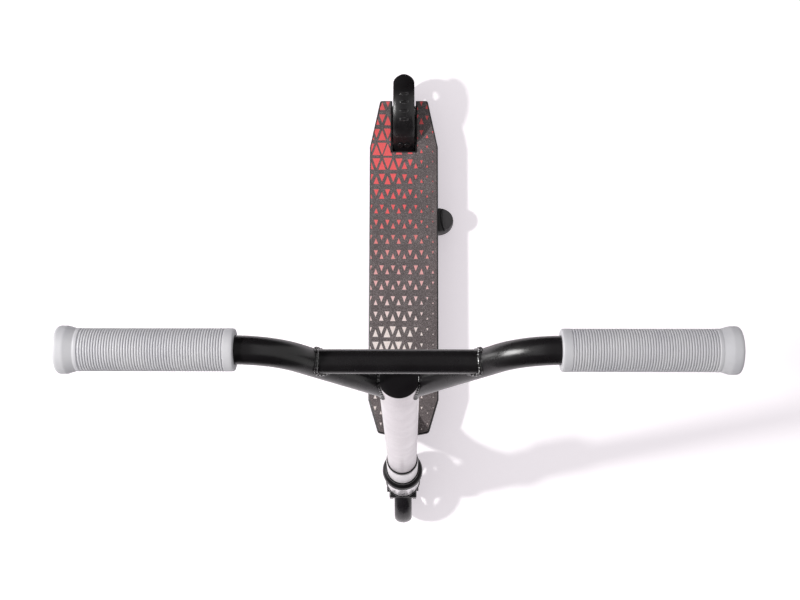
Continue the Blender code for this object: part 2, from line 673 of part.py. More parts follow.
def headset_top(parent):
    bore = STEERER_RADIUS + GAP
    race_bottom = CROWN_TOP + GAP
    rim = CUP_FLANGE_RADIUS - RACE_INSET
    race = [(bore, race_bottom), (rim, race_bottom), (rim, race_bottom + RACE_FLANGE),
            (0.5 * (bore + rim), RACE_TOP), (bore, RACE_TOP)]
    finish(lathe("crown_race", race, 22), "black_metal", parent)
    lip = COVER_BOTTOM + 0.0022
    dome = quadratic((COVER_RADIUS, lip + 0.0014), (COVER_RADIUS - 0.0005, COVER_TOP - 0.002),
                     (COVER_TOP_RADIUS, COVER_TOP), 4)
    cover = [(bore, COVER_BOTTOM), (COVER_RADIUS - 0.0012, COVER_BOTTOM), (COVER_RADIUS, COVER_BOTTOM + 0.001),
             (COVER_RADIUS, lip + 0.0014)] + dome + [(bore, COVER_TOP)]
    finish(lathe("headset_cover", cover, 26), "rubber", parent)
    item = ring("steerer_spacer", bore, COVER_TOP_RADIUS, COVER_TOP + GAP, SPACER_TOP, 22)
    finish(item, "black_metal", parent)


def compression(parent):
    """What pulls the headset together inside the clamp."""
    shank = COMPRESSION_BOLT_RADIUS
    hole = shank + GAP
    nut_bottom = STEERER_TOP - STAR_NUT_DEPTH
    item = ring("star_nut", hole, STEERER_BORE - GAP, nut_bottom, nut_bottom + COMPRESSION_THICKNESS, 18)
    finish(item, "steel", parent)
    item = ring("compression_cap", hole, DOWNTUBE_RADIUS - 0.0005, COMPRESSION_BOTTOM, COMPRESSION_TOP, 22)
    finish(item, "steel", parent)
    length = COMPRESSION_TOP + GAP - nut_bottom
    profile = bolt_profile(shank, length, 0.005, 0.0045, 0.0025)
    bolt = lathe("compression_bolt", profile, 14)
    finish(move(bolt, Matrix.Translation((0, 0, COMPRESSION_TOP + GAP))), "steel", parent)
    item = ring("steerer_shim", STEERER_RADIUS + GAP, DOWNTUBE_RADIUS, CLAMP_BOTTOM + 0.0005, STEERER_TOP, 26)
    finish(item, "steel", parent)


def clamp_bolt_heights():
    low = CLAMP_BOTTOM + CLAMP_EAR_MARGIN + CLAMP_BOLT_MARGIN
    high = CLAMP_TOP - CLAMP_EAR_MARGIN - CLAMP_BOLT_MARGIN
    step = (high - low) / (CLAMP_BOLT_COUNT - 1)
    return [low + step * index for index in range(CLAMP_BOLT_COUNT)]


def clamp(parent):
    """The split collar, its slit and bolts towards the rider."""
    item = ring("clamp", CLAMP_BORE, CLAMP_RADIUS, CLAMP_BOTTOM, CLAMP_TOP, 44)
    half = 0.5 * CLAMP_EAR_WIDTH
    ear = box("ear", (-half, half), (0.6 * CLAMP_BORE, CLAMP_EAR_REACH),
              (CLAMP_BOTTOM + CLAMP_EAR_MARGIN, CLAMP_TOP - CLAMP_EAR_MARGIN))
    round_edges(ear, 0.002, 2, 40.0)
    cut(ear, disc("back", 0.5 * (CLAMP_BORE + CLAMP_RADIUS), CLAMP_BOTTOM - PAST, CLAMP_TOP + PAST, 44))
    fuse(item, ear)
    cut(item, box("slit", (-0.5 * CLAMP_SLIT, 0.5 * CLAMP_SLIT), (0.0, CLAMP_EAR_REACH + PAST),
                  (CLAMP_BOTTOM - PAST, CLAMP_TOP + PAST)))
    bolt_y = CLAMP_RADIUS + 0.5 * CLAMP_EAR_LENGTH
    for height in clamp_bolt_heights():
        cut(item, along_x(disc("hole", CLAMP_BOLT_RADIUS + GAP, -half - PAST, half + PAST, 14), 0, bolt_y, height))
    finish(item, "grey_paint", parent)
    for index, height in enumerate(clamp_bolt_heights()):
        profile = bolt_profile(CLAMP_BOLT_RADIUS, 2 * half, CLAMP_BOLT_HEAD, CLAMP_BOLT_HEAD_HEIGHT, 0.0025)
        bolt = along_x(lathe(f"clamp_bolt_{index + 1}", profile, 12), half + GAP, bolt_y, height)
        finish(bolt, "black_metal", parent)
    item = ring("clamp_ring", CLAMP_BORE, RING_RADIUS, CLAMP_TOP + GAP, CLAMP_TOP + GAP + RING_HEIGHT, 22)
    finish(item, "rubber", parent)


def pipe(name, path, outer, inner=0.0, segments=28):
    """A tube along points in the handlebar's plane, hollow where an inner radius is given."""
    bm = bmesh.new()
    across = Vector((0.0, 1.0, 0.0))
    loops = []
    for index, point in enumerate(path):
        before = path[max(index - 1, 0)]
        after = path[min(index + 1, len(path) - 1)]
        side = (after - before).normalized().cross(across)
        for radius in ((outer, inner) if inner else (outer,)):
            loop = []
            for step in range(segments):
                angle = math.tau * step / segments
                loop.append(bm.verts.new(point + radius * (math.cos(angle) * across + math.sin(angle) * side)))
            loops.append(loop)
    stride = 2 if inner else 1
    for start in range(stride):
        rings = loops[start::stride]
        for low, high in zip(rings, rings[1:]):
            for i in range(segments):
                j = (i + 1) % segments
                bm.faces.new((low[i], low[j], high[j], high[i]))
    if inner:
        for pair in (loops[:2], loops[-2:]):
            for i in range(segments):
                j = (i + 1) % segments
                bm.faces.new((pair[0][i], pair[0][j], pair[1][j], pair[1][i]))
    else:
        bm.faces.new(loops[0])
        bm.faces.new(loops[-1])
    return from_bmesh(name, bm)


def wing_path(side):
    """From inside the downtube up the wing, round the bend and out along the bar."""
    slope = Vector((math.cos(WING_ANGLE), 0.0, math.sin(WING_ANGLE)))
    corner = Vector((WING_CORNER, 0.0, BAR_HEIGHT))
    bend_start = corner - BEND_TANGENT * slope
    centre = Vector((WING_CORNER + BEND_TANGENT, 0.0, BAR_HEIGHT - BEND_RADIUS))
    path = [corner - slope * (corner.x / slope.x - 0.1 * DOWNTUBE_RADIUS), bend_start]
    steps = 7
    for index in range(1, steps + 1):
        angle = math.pi / 2 + WING_ANGLE * (1 - index / steps)
        path.append(centre + BEND_RADIUS * Vector((math.cos(angle), 0.0, math.sin(angle))))
    path.append(Vector((0.5 * BAR_SPAN - PLUG_HEIGHT - GAP, 0.0, BAR_HEIGHT)))
    return [Vector((side * p.x, p.y, p.z)) for p in path]


def handlebar(parent):
    tube = ring("downtube", DOWNTUBE_BORE, DOWNTUBE_RADIUS, DOWNTUBE_BOTTOM, DOWNTUBE_TOP, 26)
    finish(tube, "grey_paint", parent)
    cap_low = DOWNTUBE_TOP + GAP
    cap = [(0.0, DOWNTUBE_TOP - CAP_SKIRT), (DOWNTUBE_BORE - GAP, DOWNTUBE_TOP - CAP_SKIRT),
           (DOWNTUBE_BORE - GAP, cap_low), (DOWNTUBE_RADIUS, cap_low),
           (DOWNTUBE_RADIUS - 0.0005, cap_low + CAP_HEIGHT), (0.0, cap_low + CAP_HEIGHT + 0.0006)]
    finish(lathe("downtube_cap", cap, 26), "rubber", parent)
    for side, name in ((1, "left"), (-1, "right")):
        item = pipe(f"{name}_wing", wing_path(side), BAR_RADIUS, BAR_RADIUS - TUBE_WALL, 18)
        cut(item, disc("cope", DOWNTUBE_RADIUS + GAP, DOWNTUBE_BOTTOM, BAR_HEIGHT, 40))
        finish(item, "black_paint", parent)
    reach = WING_CORNER - (BAR_HEIGHT - CROSSBAR_HEIGHT) / math.tan(WING_ANGLE)
    ends = [Vector((-reach, 0.0, CROSSBAR_HEIGHT)), Vector((reach, 0.0, CROSSBAR_HEIGHT))]
    item = pipe("crossbar", ends, CROSSBAR_RADIUS, CROSSBAR_RADIUS - TUBE_WALL, 18)
    for side in (1, -1):
        cut(item, pipe("cope", wing_path(side)[:3], BAR_RADIUS + GAP, 0.0, 22))
    finish(item, "black_paint", parent)


def grip_profile():
    """Outline of a grip from its inner collar to the flared outer end, heights along the bar."""
    bore = (BAR_RADIUS + GAP) / math.cos(math.pi / GRIP_SEGMENTS)
    neck = GRIP_LENGTH - GRIP_END_LENGTH
    flare = GRIP_RADIUS + GRIP_FLARE
    shoulder = GRIP_LENGTH - 0.4 * GRIP_END_LENGTH
    return [(bore, 0.0), (GRIP_RADIUS - GRIP_ROUND, 0.0), (GRIP_RADIUS, GRIP_ROUND), (GRIP_RADIUS, neck),
            (GRIP_RADIUS - GRIP_NECK, neck + GRIP_NECK), (GRIP_RADIUS + 0.2 * GRIP_FLARE, 0.5 * (neck + shoulder)),
            (flare, shoulder), (flare, GRIP_LENGTH - 2 * GRIP_ROUND), (flare - 2 * GRIP_ROUND, GRIP_LENGTH),
            (bore, GRIP_LENGTH)]


def grips(parent):
    for side, name in ((1, "left"), (-1, "right")):
        item = along_x(lathe(f"{name}_grip", grip_profile(), GRIP_SEGMENTS), GRIP_INNER_X, 0.0, BAR_HEIGHT)
        shank = BAR_RADIUS - TUBE_WALL - GAP
        end = 0.5 * BAR_SPAN
        seat = end - PLUG_HEIGHT
        plug = [(0.0, seat - PLUG_SHANK), (shank, seat - PLUG_SHANK), (shank, seat), (PLUG_RADIUS, seat),
                (PLUG_RADIUS, end - 0.0006), (PLUG_RADIUS - 0.0012, end), (0.0, end)]
        stop = along_x(lathe(f"{name}_bar_plug", plug, 18), 0.0, 0.0, BAR_HEIGHT)
        for piece in (item, stop):
            if side < 0:
                move(piece, Matrix.Rotation(math.pi, 4, "Z"))
        finish(item, "grip", parent)
        finish(stop, "rubber", parent)


def steering(parent, front_axle):
    fork(parent)
    headset_top(parent)
    clamp(parent)
    compression(parent)
    handlebar(parent)
    grips(parent)
    axle("front", FORK_OUTER_HALF, parent)
    axle_spacers("front", FORK_INNER_HALF, parent)
    wheel("front", front_axle)


# brake, drawn round the rear axle

def fender_point(angle, radius=None):
    """A point of the arch; zero degrees points forward and ninety up."""
    reach = FENDER_RADIUS if radius is None else radius
    return Vector((0.0, -reach * math.cos(angle), reach * math.sin(angle)))


def ramp_point(distance, rise=0.0):
    """A point down the straight ramp from the arch's split, and above its mid-plane."""
    angle = math.radians(FENDER_SPLIT_ANGLE)
    down = Vector((0.0, -math.sin(angle), -math.cos(angle)))
    return fender_point(angle) + distance * down + rise * fender_point(angle).normalized()


def strip(name, stations, thickness):
    """A plate swept through (point, up vector, half width) stations."""
    bm = bmesh.new()
    loops = []
    for point, up, half in stations:
        step = 0.5 * thickness * up
        side = Vector((half, 0.0, 0.0))
        loops.append([bm.verts.new(point + s * side + t * step) for s, t in ((-1, -1), (1, -1), (1, 1), (-1, 1))])
    for low, high in zip(loops, loops[1:]):
        for i in range(4):
            j = (i + 1) % 4
            bm.faces.new((low[i], low[j], high[j], high[i]))
    bm.faces.new(loops[0])
    bm.faces.new(loops[-1])
    return from_bmesh(name, bm)


def rear_axle_matrix():
    return Matrix.Translation((0.0, REAR_AXLE_Y, WHEEL_RADIUS))


def ramp_length():
    """From the split down to where the fender's foot ends inside the deck's mouth."""
    mouth = SLOT_FRONT_Y - MOUTH_LAP - REAR_AXLE_Y
    angle = math.radians(FENDER_SPLIT_ANGLE)
    return (fender_point(angle).y - mouth) / math.sin(angle)


def brake_foot():
    up = fender_point(math.radians(FENDER_SPLIT_ANGLE)).normalized()
    half = 0.5 * FENDER_WIDTH
    stations = [(ramp_point(GAP), up, half), (ramp_point(ramp_length()), up, half)]
    item = strip("brake_foot", stations, FENDER_THICKNESS)
    item = round_edges(item, 0.0006, 1, 40.0)
    for side in (-1, 1):
        cut(item, brake_screw_tool(side, BRAKE_SCREW_RADIUS + GAP))
    return finish(move(item, rear_axle_matrix()), "black_paint")


def screw_matrix(side, rise):
    """Puts a screw's seat on the ramp, its head up the ramp's normal."""
    turn = Matrix.Rotation(math.radians(90 - FENDER_SPLIT_ANGLE), 4, "X")
    place = ramp_point(BRAKE_SCREW_PLACE, rise)
    place.x = 0.5 * side * BRAKE_SCREW_SPACING
    return Matrix.Translation(place) @ turn


def brake_screw_tool(side, radius):
    reach = FENDER_THICKNESS + BRACKET_THICKNESS + PAST
    return move(disc("hole", radius, -reach, reach, 14), screw_matrix(side, 0.0))


def brake_screws():
    for side, name in ((1, "left"), (-1, "right")):
        length = FENDER_THICKNESS + 2 * GAP + BRACKET_THICKNESS
        profile = bolt_profile(BRAKE_SCREW_RADIUS, length, BRAKE_SCREW_HEAD, BRAKE_SCREW_HEAD_HEIGHT, 0.0018)
        item = lathe(f"brake_screw_{name}", profile, 12)
        move(item, screw_matrix(side, 0.5 * FENDER_THICKNESS + GAP))
        finish(move(item, rear_axle_matrix()), "steel")


def brake_bracket():
    """A bent plate that stands on the floor of the deck's middle chamber and backs the fender's foot."""
    up = fender_point(math.radians(FENDER_SPLIT_ANGLE)).normalized()
    drop = -(0.5 * FENDER_THICKNESS + GAP + 0.5 * BRACKET_THICKNESS)
    floor = DECK_CLEARANCE + DECK_FLOOR_WALL + GAP + 0.5 * BRACKET_THICKNESS - WHEEL_RADIUS
    top = ramp_point(BRACKET_SHORT, drop)
    knee = ramp_point((top.z - floor) / math.cos(math.radians(FENDER_SPLIT_ANGLE)) + BRACKET_SHORT, drop)
    half = 0.5 * BRACKET_WIDTH
    middle = (up + Vector((0, 0, 1))).normalized() / math.cos(0.5 * math.radians(90 - FENDER_SPLIT_ANGLE))
    end = knee - Vector((0.0, BRACKET_FOOT, 0.0))
    item = strip("brake_bracket", [(top, up, half), (knee, middle, half), (end, Vector((0, 0, 1)), half)],
                 BRACKET_THICKNESS)
    for side in (-1, 1):
        cut(item, brake_screw_tool(side, BRAKE_SCREW_RADIUS + GAP))
    return finish(move(item, rear_axle_matrix()), "steel")


def fender_stations():
    """The arch, then a tail that turns outwards and ends round in plan."""
    start = math.radians(FENDER_SPLIT_ANGLE)
    half = 0.5 * FENDER_WIDTH
    stations = []
    steps = 14
    for index in range(steps + 1):
        angle = start + (TAIL_END_ANGLE - start) * index / steps
        stations.append((fender_point(angle), fender_point(angle).normalized(), half))
    base = fender_point(TAIL_END_ANGLE)
    along = Vector((0.0, math.sin(TAIL_TURN), math.cos(TAIL_TURN)))
    up = Vector((0.0, -math.cos(TAIL_TURN), math.sin(TAIL_TURN)))
    stations.append((base + (FENDER_TAIL - half) * along, up, half))
    for index in range(1, 7):
        angle = 0.5 * math.pi * index / 6.5
        width = half * math.cos(angle)
        stations.append((base + (FENDER_TAIL - half * (1 - math.sin(angle))) * along, up, width))
    return stations


def tread_rib(index):
    angle = math.radians(TREAD_CENTRE + TREAD_PITCH * (index - 0.5 * (TREAD_COUNT - 1)))
    low = FENDER_RADIUS + 0.2 * FENDER_THICKNESS
    high = FENDER_RADIUS + 0.5 * FENDER_THICKNESS + TREAD_RISE
    half_length = 0.5 * TREAD_LENGTH
    outline = [(-half_length, low), (half_length, low), (0.5 * half_length, high), (-0.5 * half_length, high)]
    item = prism("rib", outline, -0.5 * TREAD_WIDTH, 0.5 * TREAD_WIDTH, "YZ")
    return move(item, Matrix.Rotation(math.pi / 2 - angle, 4, "X"))


def brake_fender(parent):
    item = strip("brake_fender", fender_stations(), FENDER_THICKNESS)
    item = round_edges(item, 0.0006, 1, 40.0)
    for index in range(TREAD_COUNT):
        fuse(item, tread_rib(index))
    return finish(at_split(item), "black_paint", parent)


# side stand, drawn round its pivot

def stand_bracket():
    """A plate under the deck with two ears for the pivot."""
    plate_top = STAND_DROP - GAP
    plate_low = plate_top - STAND_PLATE
    half = 0.5 * STAND_PLATE_WIDTH
    item = box("stand_bracket", (-half, half), (-0.5 * STAND_PLATE_LENGTH, 0.5 * STAND_PLATE_LENGTH),
               (plate_low, plate_top))
    inner = 0.5 * STAND_EYE_LENGTH + GAP
    for side in (-1, 1):
        low, high = sorted((side * inner, side * (inner + STAND_PLATE)))
        arc = [math.radians(a) for a in range(180, 361, 20)]
        outline = [(STAND_EAR_RADIUS * math.cos(a), STAND_EAR_RADIUS * math.sin(a)) for a in arc]
        top = plate_low + 0.4 * STAND_PLATE
        outline += [(STAND_EAR_RADIUS, top), (-STAND_EAR_RADIUS, top)]
        fuse(item, prism("ear", outline, low, high, "XZ"))
    reach = inner + STAND_PLATE + PAST
    cut(item, along_y(disc("pivot_hole", STAND_PIN_RADIUS + GAP, -reach, reach, 14)))
    for side in (-1, 1):
        hole = disc("screw_hole", STAND_SCREW_RADIUS + GAP, plate_low - PAST, plate_top + PAST, 12)
        cut(item, move(hole, Matrix.Translation((0, 0.5 * side * STAND_SCREW_SPACING, 0))))
    return finish(move(item, Matrix.Translation((0.0, STAND_Y, STAND_Z))), "black_metal", smooth=False)


def stand_fixings():
    plate_low = STAND_Z + STAND_DROP - GAP - STAND_PLATE
    for side, name in ((-1, "front"), (1, "rear")):
        length = STAND_PLATE + GAP
        profile = bolt_profile(STAND_SCREW_RADIUS, length, 1.7 * STAND_SCREW_RADIUS, 0.0022, 0.0018)
        item = lathe(f"stand_screw_{name}", profile, 12)
        y = STAND_Y + 0.5 * side * STAND_SCREW_SPACING
        turn = Matrix.Translation((0, y, plate_low - GAP)) @ Matrix.Rotation(math.pi, 4, "X")
        finish(move(item, turn), "steel")
    seat = 0.5 * STAND_EYE_LENGTH + GAP + STAND_PLATE + GAP
    profile = bolt_profile(STAND_PIN_RADIUS, 2 * seat + 0.004, 0.0052, 0.003, 0.0022)
    item = along_y(lathe("stand_pivot", profile, 14), 0.0, STAND_Y + seat, STAND_Z)
    finish(item, "steel")


def stand_leg(parent):
    item = along_y(disc("stand_leg", STAND_EYE_RADIUS, -0.5 * STAND_EYE_LENGTH, 0.5 * STAND_EYE_LENGTH, 18))
    rod = along_x(disc("rod", STAND_ROD_RADIUS, 0.4 * STAND_EYE_RADIUS, STAND_REACH + STAND_ROD_LAP, 14))
    fuse(item, rod)
    reach = 0.5 * STAND_EYE_LENGTH + PAST
    cut(item, along_y(disc("pivot_hole", STAND_PIN_RADIUS + GAP, -reach, reach, 14)))
    return finish(item, "black_metal", parent)


def stand_foot(parent):
    """A rubber foot, half round in plan and domed outwards, with one groove along it."""
    half = 0.5 * STAND_FOOT_LENGTH
    arc = [math.pi * (0.5 - i / 12) for i in range(13)]
    outline = [(STAND_REACH + STAND_FOOT_REACH * math.cos(a), half * math.sin(a)) for a in arc]
    low = STAND_FOOT_RISE - 0.5 * STAND_FOOT_HEIGHT
    item = prism("stand_foot", outline, low, low + STAND_FOOT_HEIGHT)
    item = round_edges(item, 0.0035, 3, 50.0)
    groove_x = STAND_REACH + 0.0055
    depth = low + STAND_FOOT_HEIGHT - STAND_FOOT_GROOVE
    groove = box("groove", (-0.0009, 0.0009), (-half - PAST, half + PAST), (depth, depth + PAST))
    turn = Matrix.Translation((groove_x, 0, 0)) @ Matrix.Rotation(math.radians(6), 4, "Z")
    cut(item, move(groove, turn))
    cut(item, along_x(disc("rod_hole", STAND_ROD_RADIUS + GAP, 0.0, STAND_REACH + STAND_ROD_LAP + GAP, 14)))
    return finish(item, "rubber", parent)


def main():
    clear_scene()
    steering_axis = empty("steering_axis", (0.0, FRONT_AXLE_Y, WHEEL_RADIUS), turn=-LEAN)
    front_axle = empty("front_wheel_axis", (0.0, 0.0, 0.0), steering_axis)
    rear_axle = empty("rear_wheel_axis", (0.0, REAR_AXLE_Y, WHEEL_RADIUS))
    split = fender_point(math.radians(FENDER_SPLIT_ANGLE))
    brake_axis = empty("brake_axis", Vector((0.0, REAR_AXLE_Y, WHEEL_RADIUS)) + split)
    stand_axis = empty("stand_axis", (0.0, STAND_Y, STAND_Z))
    deck()
    grip_tape()
    neck()
    head_tube()
    headset()
    steering(steering_axis, front_axle)
    wheel("rear", rear_axle)
    rib_outer = 0.5 * SLOT_WIDTH + RIB_WALL
    place = (0.0, REAR_AXLE_Y, WHEEL_RADIUS)
    axle("rear", rib_outer, None, place)
    axle_spacers("rear", 0.5 * SLOT_WIDTH, None, place)
    brake_bracket()
    brake_foot()
    brake_screws()
    brake_fender(brake_axis)
    stand_bracket()
    stand_fixings()
    stand_leg(stand_axis)
    stand_foot(stand_axis)


main()
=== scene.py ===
"""Looks of the stunt scooter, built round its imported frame.

Metres, +Z up. The scooter faces -Y and its left side is +X. Pieces of the steering group are
drawn round the front axle with Z up the steering axis, wheels and brake round their axles, and
each is then moved into place in its own mesh.
"""

import json
import math

import bmesh
import bpy
from mathutils import Matrix, Vector


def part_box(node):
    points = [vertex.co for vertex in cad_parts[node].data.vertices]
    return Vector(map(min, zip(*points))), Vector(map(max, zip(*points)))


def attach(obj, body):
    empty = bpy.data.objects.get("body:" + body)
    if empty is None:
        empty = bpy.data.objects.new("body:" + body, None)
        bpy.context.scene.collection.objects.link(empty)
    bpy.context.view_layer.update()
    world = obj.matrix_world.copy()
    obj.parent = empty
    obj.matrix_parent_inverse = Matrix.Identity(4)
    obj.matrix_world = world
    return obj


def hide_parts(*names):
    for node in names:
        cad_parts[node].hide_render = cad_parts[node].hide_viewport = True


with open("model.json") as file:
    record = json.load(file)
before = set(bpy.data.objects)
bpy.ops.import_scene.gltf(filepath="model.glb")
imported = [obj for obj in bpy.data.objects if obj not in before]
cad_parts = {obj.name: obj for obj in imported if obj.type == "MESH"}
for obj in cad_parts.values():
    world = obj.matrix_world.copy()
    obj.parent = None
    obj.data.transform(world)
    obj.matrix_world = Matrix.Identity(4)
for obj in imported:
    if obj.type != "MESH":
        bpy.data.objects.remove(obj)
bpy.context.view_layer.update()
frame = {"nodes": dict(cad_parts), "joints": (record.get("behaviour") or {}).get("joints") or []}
NODES = frame["nodes"]
JOINTS = {joint["name"]: joint for joint in frame["joints"]}

# joints
FRONT_AXLE = Vector(JOINTS["steering_turn"]["pos_m"])
STEERING_AXIS = Vector(JOINTS["steering_turn"]["axis"])
REAR_AXLE = Vector(JOINTS["rear_wheel_spin"]["pos_m"])
BRAKE_HINGE = Vector(JOINTS["brake_press"]["pos_m"])
LEAN = math.atan2(STEERING_AXIS.y, STEERING_AXIS.z)
STEERING = Matrix.Translation(FRONT_AXLE) @ Matrix.Rotation(-LEAN, 4, "X")
FRONT_WHEEL = Matrix.Translation(FRONT_AXLE)
REAR_WHEEL = Matrix.Translation(REAR_AXLE)

# handlebar
BAR_RADIUS = 0.0111
BEND_RADIUS = 0.057
WING_ANGLE = math.radians(55.2)
BEND_LAP = 0.0022         # how far the bend ends under the grip
CROSSBAR_RADIUS = 0.0097
CROSSBAR_DROP = 0.0362    # from the bar down to the crossbar
DOWNTUBE_RADIUS = 0.01745
TUBE_WALL = 0.002
BAR_BEAD = 0.0021         # a weld bead's radius
PLUG_LIP = 0.0008
PLUG_RADIUS = 0.0128

# headset and clamp
HEAD_TUBE_WALL = 0.0032
STEERER_BORE = 0.0146     # of the rings round the steerer
EAR_HALF = 0.012
EAR_MARGIN = 0.004        # from the collar's ends
SLIT_HALF = 0.001
CLAMP_BOLT = {"radius": 0.005, "height": 0.005, "shank": 0.003, "length": 0.0235, "key": 0.0025}

# grips
RIB_COUNT = 53
RIB_PITCH = 0.002026
RIB_WIDTH = 0.00146
RIB_RADIUS = 0.01635
GROOVE_RADIUS = 0.0156
COLLAR_LENGTH = 0.0080
NECK_RADIUS = 0.0162
FLARE_RADIUS = 0.0184
BAND_LENGTH = 0.0078      # the full-width band at a grip's outer end
LIP_LENGTH = 0.0008       # how far the rubber reaches past the plug's seat

# wheels
WHEEL_RADIUS = 0.050
CORE_RADIUS = 0.039
TYRE_HALF = 0.012
TYRE_CROWN = 0.0078       # how far down the rounded tread reaches
SPOKE_COUNT = 6
HUB_RADIUS = 0.0155
HUB_HALF = 0.0119
RIM_INNER = 0.0335
RIM_HALF = 0.0100
BEARING_BORE = 0.0043
BEARING_RADIUS = 0.011
SHIELD_DROP = 0.0005      # a bearing's shield, below its races
AXLE_HEAD = 0.0028
AXLE_SHANK = 0.004
AXLE_KEY = 0.0031

# neck
NECK_HALF = 0.0182        # to the welds beside it
NECK_FRONT = 0.004        # behind the deck's nose
NECK_BACK = 0.0505
NECK_LOW = 0.009          # above the head tube's lower end
NECK_TOP = 0.0125         # below its upper end
FOOT_BEAD = 0.0011
HEAD_BEAD = 0.0012

# brake
FENDER_MIDDLE = 0.0565    # from the rear axle to the middle of the plate
FENDER_HALF = 0.0155
FENDER_THICKNESS = 0.003
FENDER_CROWN = 0.0017     # how far the plate's sides drop
TAIL_ANGLE = math.radians(118.0)
TAIL_TURN = math.radians(113.0)
TAIL_LENGTH = 0.0140
TREAD_COUNT = 4
TREAD_CENTRE = 77.5
TREAD_PITCH = 12.4
TREAD_HALF_WIDTH = 0.0066
TREAD_HALF_LENGTH = 0.0023
TREAD_SINK = 0.0006       # its edge, below the plate's face
TREAD_RISE = 0.0019       # its middle, above its edge
BRAKE_SCREW = {"radius": 0.0042, "height": 0.0024, "shank": 0.0025, "length": 0.0058, "key": 0.0019}
SCREW_SPACING = 0.010
SCREW_PLACE = 0.0164      # down the foot from the hinge

# side stand's foot
FOOT_ROUND = 0.0052
FOOT_FLATNESS = 1.28      # one is a full dome
GROOVE_IN = 0.0034        # from the deck's side to the groove's middle, halfway along
GROOVE_SLANT = 0.0025
GROOVE_BOW = 0.0040
GROOVE_HALF = 0.0012
GROOVE_DEEP = 0.0035

PAST = 0.01               # how far a cutter runs past the faces it opens

# print on the grip tape; a swelling has its amount, and its middle and reach along and across the deck
PRINT_COLUMN = 0.00834
PRINT_ROW = 0.02272
PRINT_FIRST_X = -0.0407
PRINT_ROW_Y = 0.1926
PLAIN_SIZE = 0.355
REAR_SWELLING = (0.42, 0.221, 0.055, -0.0255, 0.030)
FRONT_SWELLING = (0.32, -0.085, 0.038, -0.020, 0.027)
CORNER_SWELLING = (0.23, 0.268, 0.040, 0.020, 0.022)

# the photograph's camera
CAMERA_TURNS = (0.06, 8.488, -0.50)    # heading, tilt and roll in degrees
CAMERA_PLACE = (0.0091, -0.24940, 1.65908)
CAMERA_LENS = 50.0        # millimetres, as the sensor
CAMERA_SENSOR = 36.0

# studio
FILL_LIGHT = 0.50
FLOOR_GLOW = 0.41
FLOOR_HALF = 6.0
ROOM_HALF = 1.6
ROOM_HEIGHT = 2.6
CEILING_GLOW = 0.12
WALL_GLOWS = (0.90, 0.0, 0.30, 0.0)    # left, rear, right and front
WINDOW_X = -1.35
WINDOW_WIDTH = 0.75
WINDOWS = (("window_card", 0.85, 1.62, 30.0), ("low_window_card", 0.55, 0.47, 6.0))    # size, height, glow
LAMP_PLACE = (-1.60, -0.28, 2.10)
LAMP_POWER = 170.0


def srgb(red, green, blue):
    """A colour written as it looks on a screen, as linear values."""
    parts = [c / 255 for c in (red, green, blue)]
    parts = [c / 12.92 if c < 0.04045 else ((c + 0.055) / 1.055) ** 2.4 for c in parts]
    return (*parts, 1.0)


class Board:
    """Lays out the nodes of one tree. A value is a number, a colour or another node's output."""

    def __init__(self, tree):
        self.tree = tree

    def feed(self, socket, value):
        if isinstance(value, bpy.types.NodeSocket):
            self.tree.links.new(value, socket)
        else:
            socket.default_value = value

    def node(self, kind, inputs=(), **settings):
        made = self.tree.nodes.new(kind)
        for key, value in settings.items():
            setattr(made, key, value)
        for key, value in dict(inputs).items():
            self.feed(made.inputs[key], value)
        return made

    def math(self, operation, *values, clamp=False):
        made = self.node("ShaderNodeMath", operation=operation, use_clamp=clamp)
        for socket, value in zip(made.inputs, values):
            self.feed(socket, value)
        return made.outputs[0]

    def times(self, *values):
        return self.math("MULTIPLY", *values)

    def plus(self, *values, clamp=False):
        return self.math("ADD", *values, clamp=clamp)

    def minus(self, *values):
        return self.math("SUBTRACT", *values)

    def mix(self, factor, low, high):
        made = self.node("ShaderNodeMix", data_type="RGBA")
        for index, value in ((0, factor), (6, low), (7, high)):
            self.feed(made.inputs[index], value)
        return made.outputs[2]

    def span(self, value, low, high, to_low=0.0, to_high=1.0):
        made = self.node("ShaderNodeMapRange", {
            "Value": value, "From Min": low, "From Max": high, "To Min": to_low, "To Max": to_high})
        return made.outputs[0]

    def bell(self, value, centre, width):
        offset = self.math("DIVIDE", self.minus(value, centre), width)
        return self.math("EXPONENT", self.times(self.times(offset, offset), -1.0))

    def place(self):
        return self.node("ShaderNodeTexCoord").outputs["Object"]

    def noise(self, scale, detail=2.0, vector=None):
        made = self.node("ShaderNodeTexNoise", {"Scale": scale, "Detail": detail, "Roughness": 0.55})
        self.feed(made.inputs["Vector"], self.place() if vector is None else vector)
        return made.outputs["Fac"]

    def use(self, tree, **values):
        made = self.node("ShaderNodeGroup", node_tree=tree)
        for key, value in values.items():
            self.feed(made.inputs[key.replace("_", " ")], value)
        return made.outputs[0]


def effect(name, inputs, output):
    """Starts a shared shader group. Its draw function gives the one value that it puts out."""
    def keep(draw):
        tree = bpy.data.node_groups.new(name, "ShaderNodeTree")
        for label, value in inputs.items():
            socket = tree.interface.new_socket(label, in_out="INPUT", socket_type="NodeSocketFloat")
            socket.default_value = value
        tree.interface.new_socket(output, in_out="OUTPUT", socket_type="NodeSocketFloat")
        board = Board(tree)
        given = board.node("NodeGroupInput").outputs
        result = draw(board, {label: given[label] for label in inputs})
        tree.links.new(result, board.node("NodeGroupOutput").inputs[output])
        return tree
    return keep


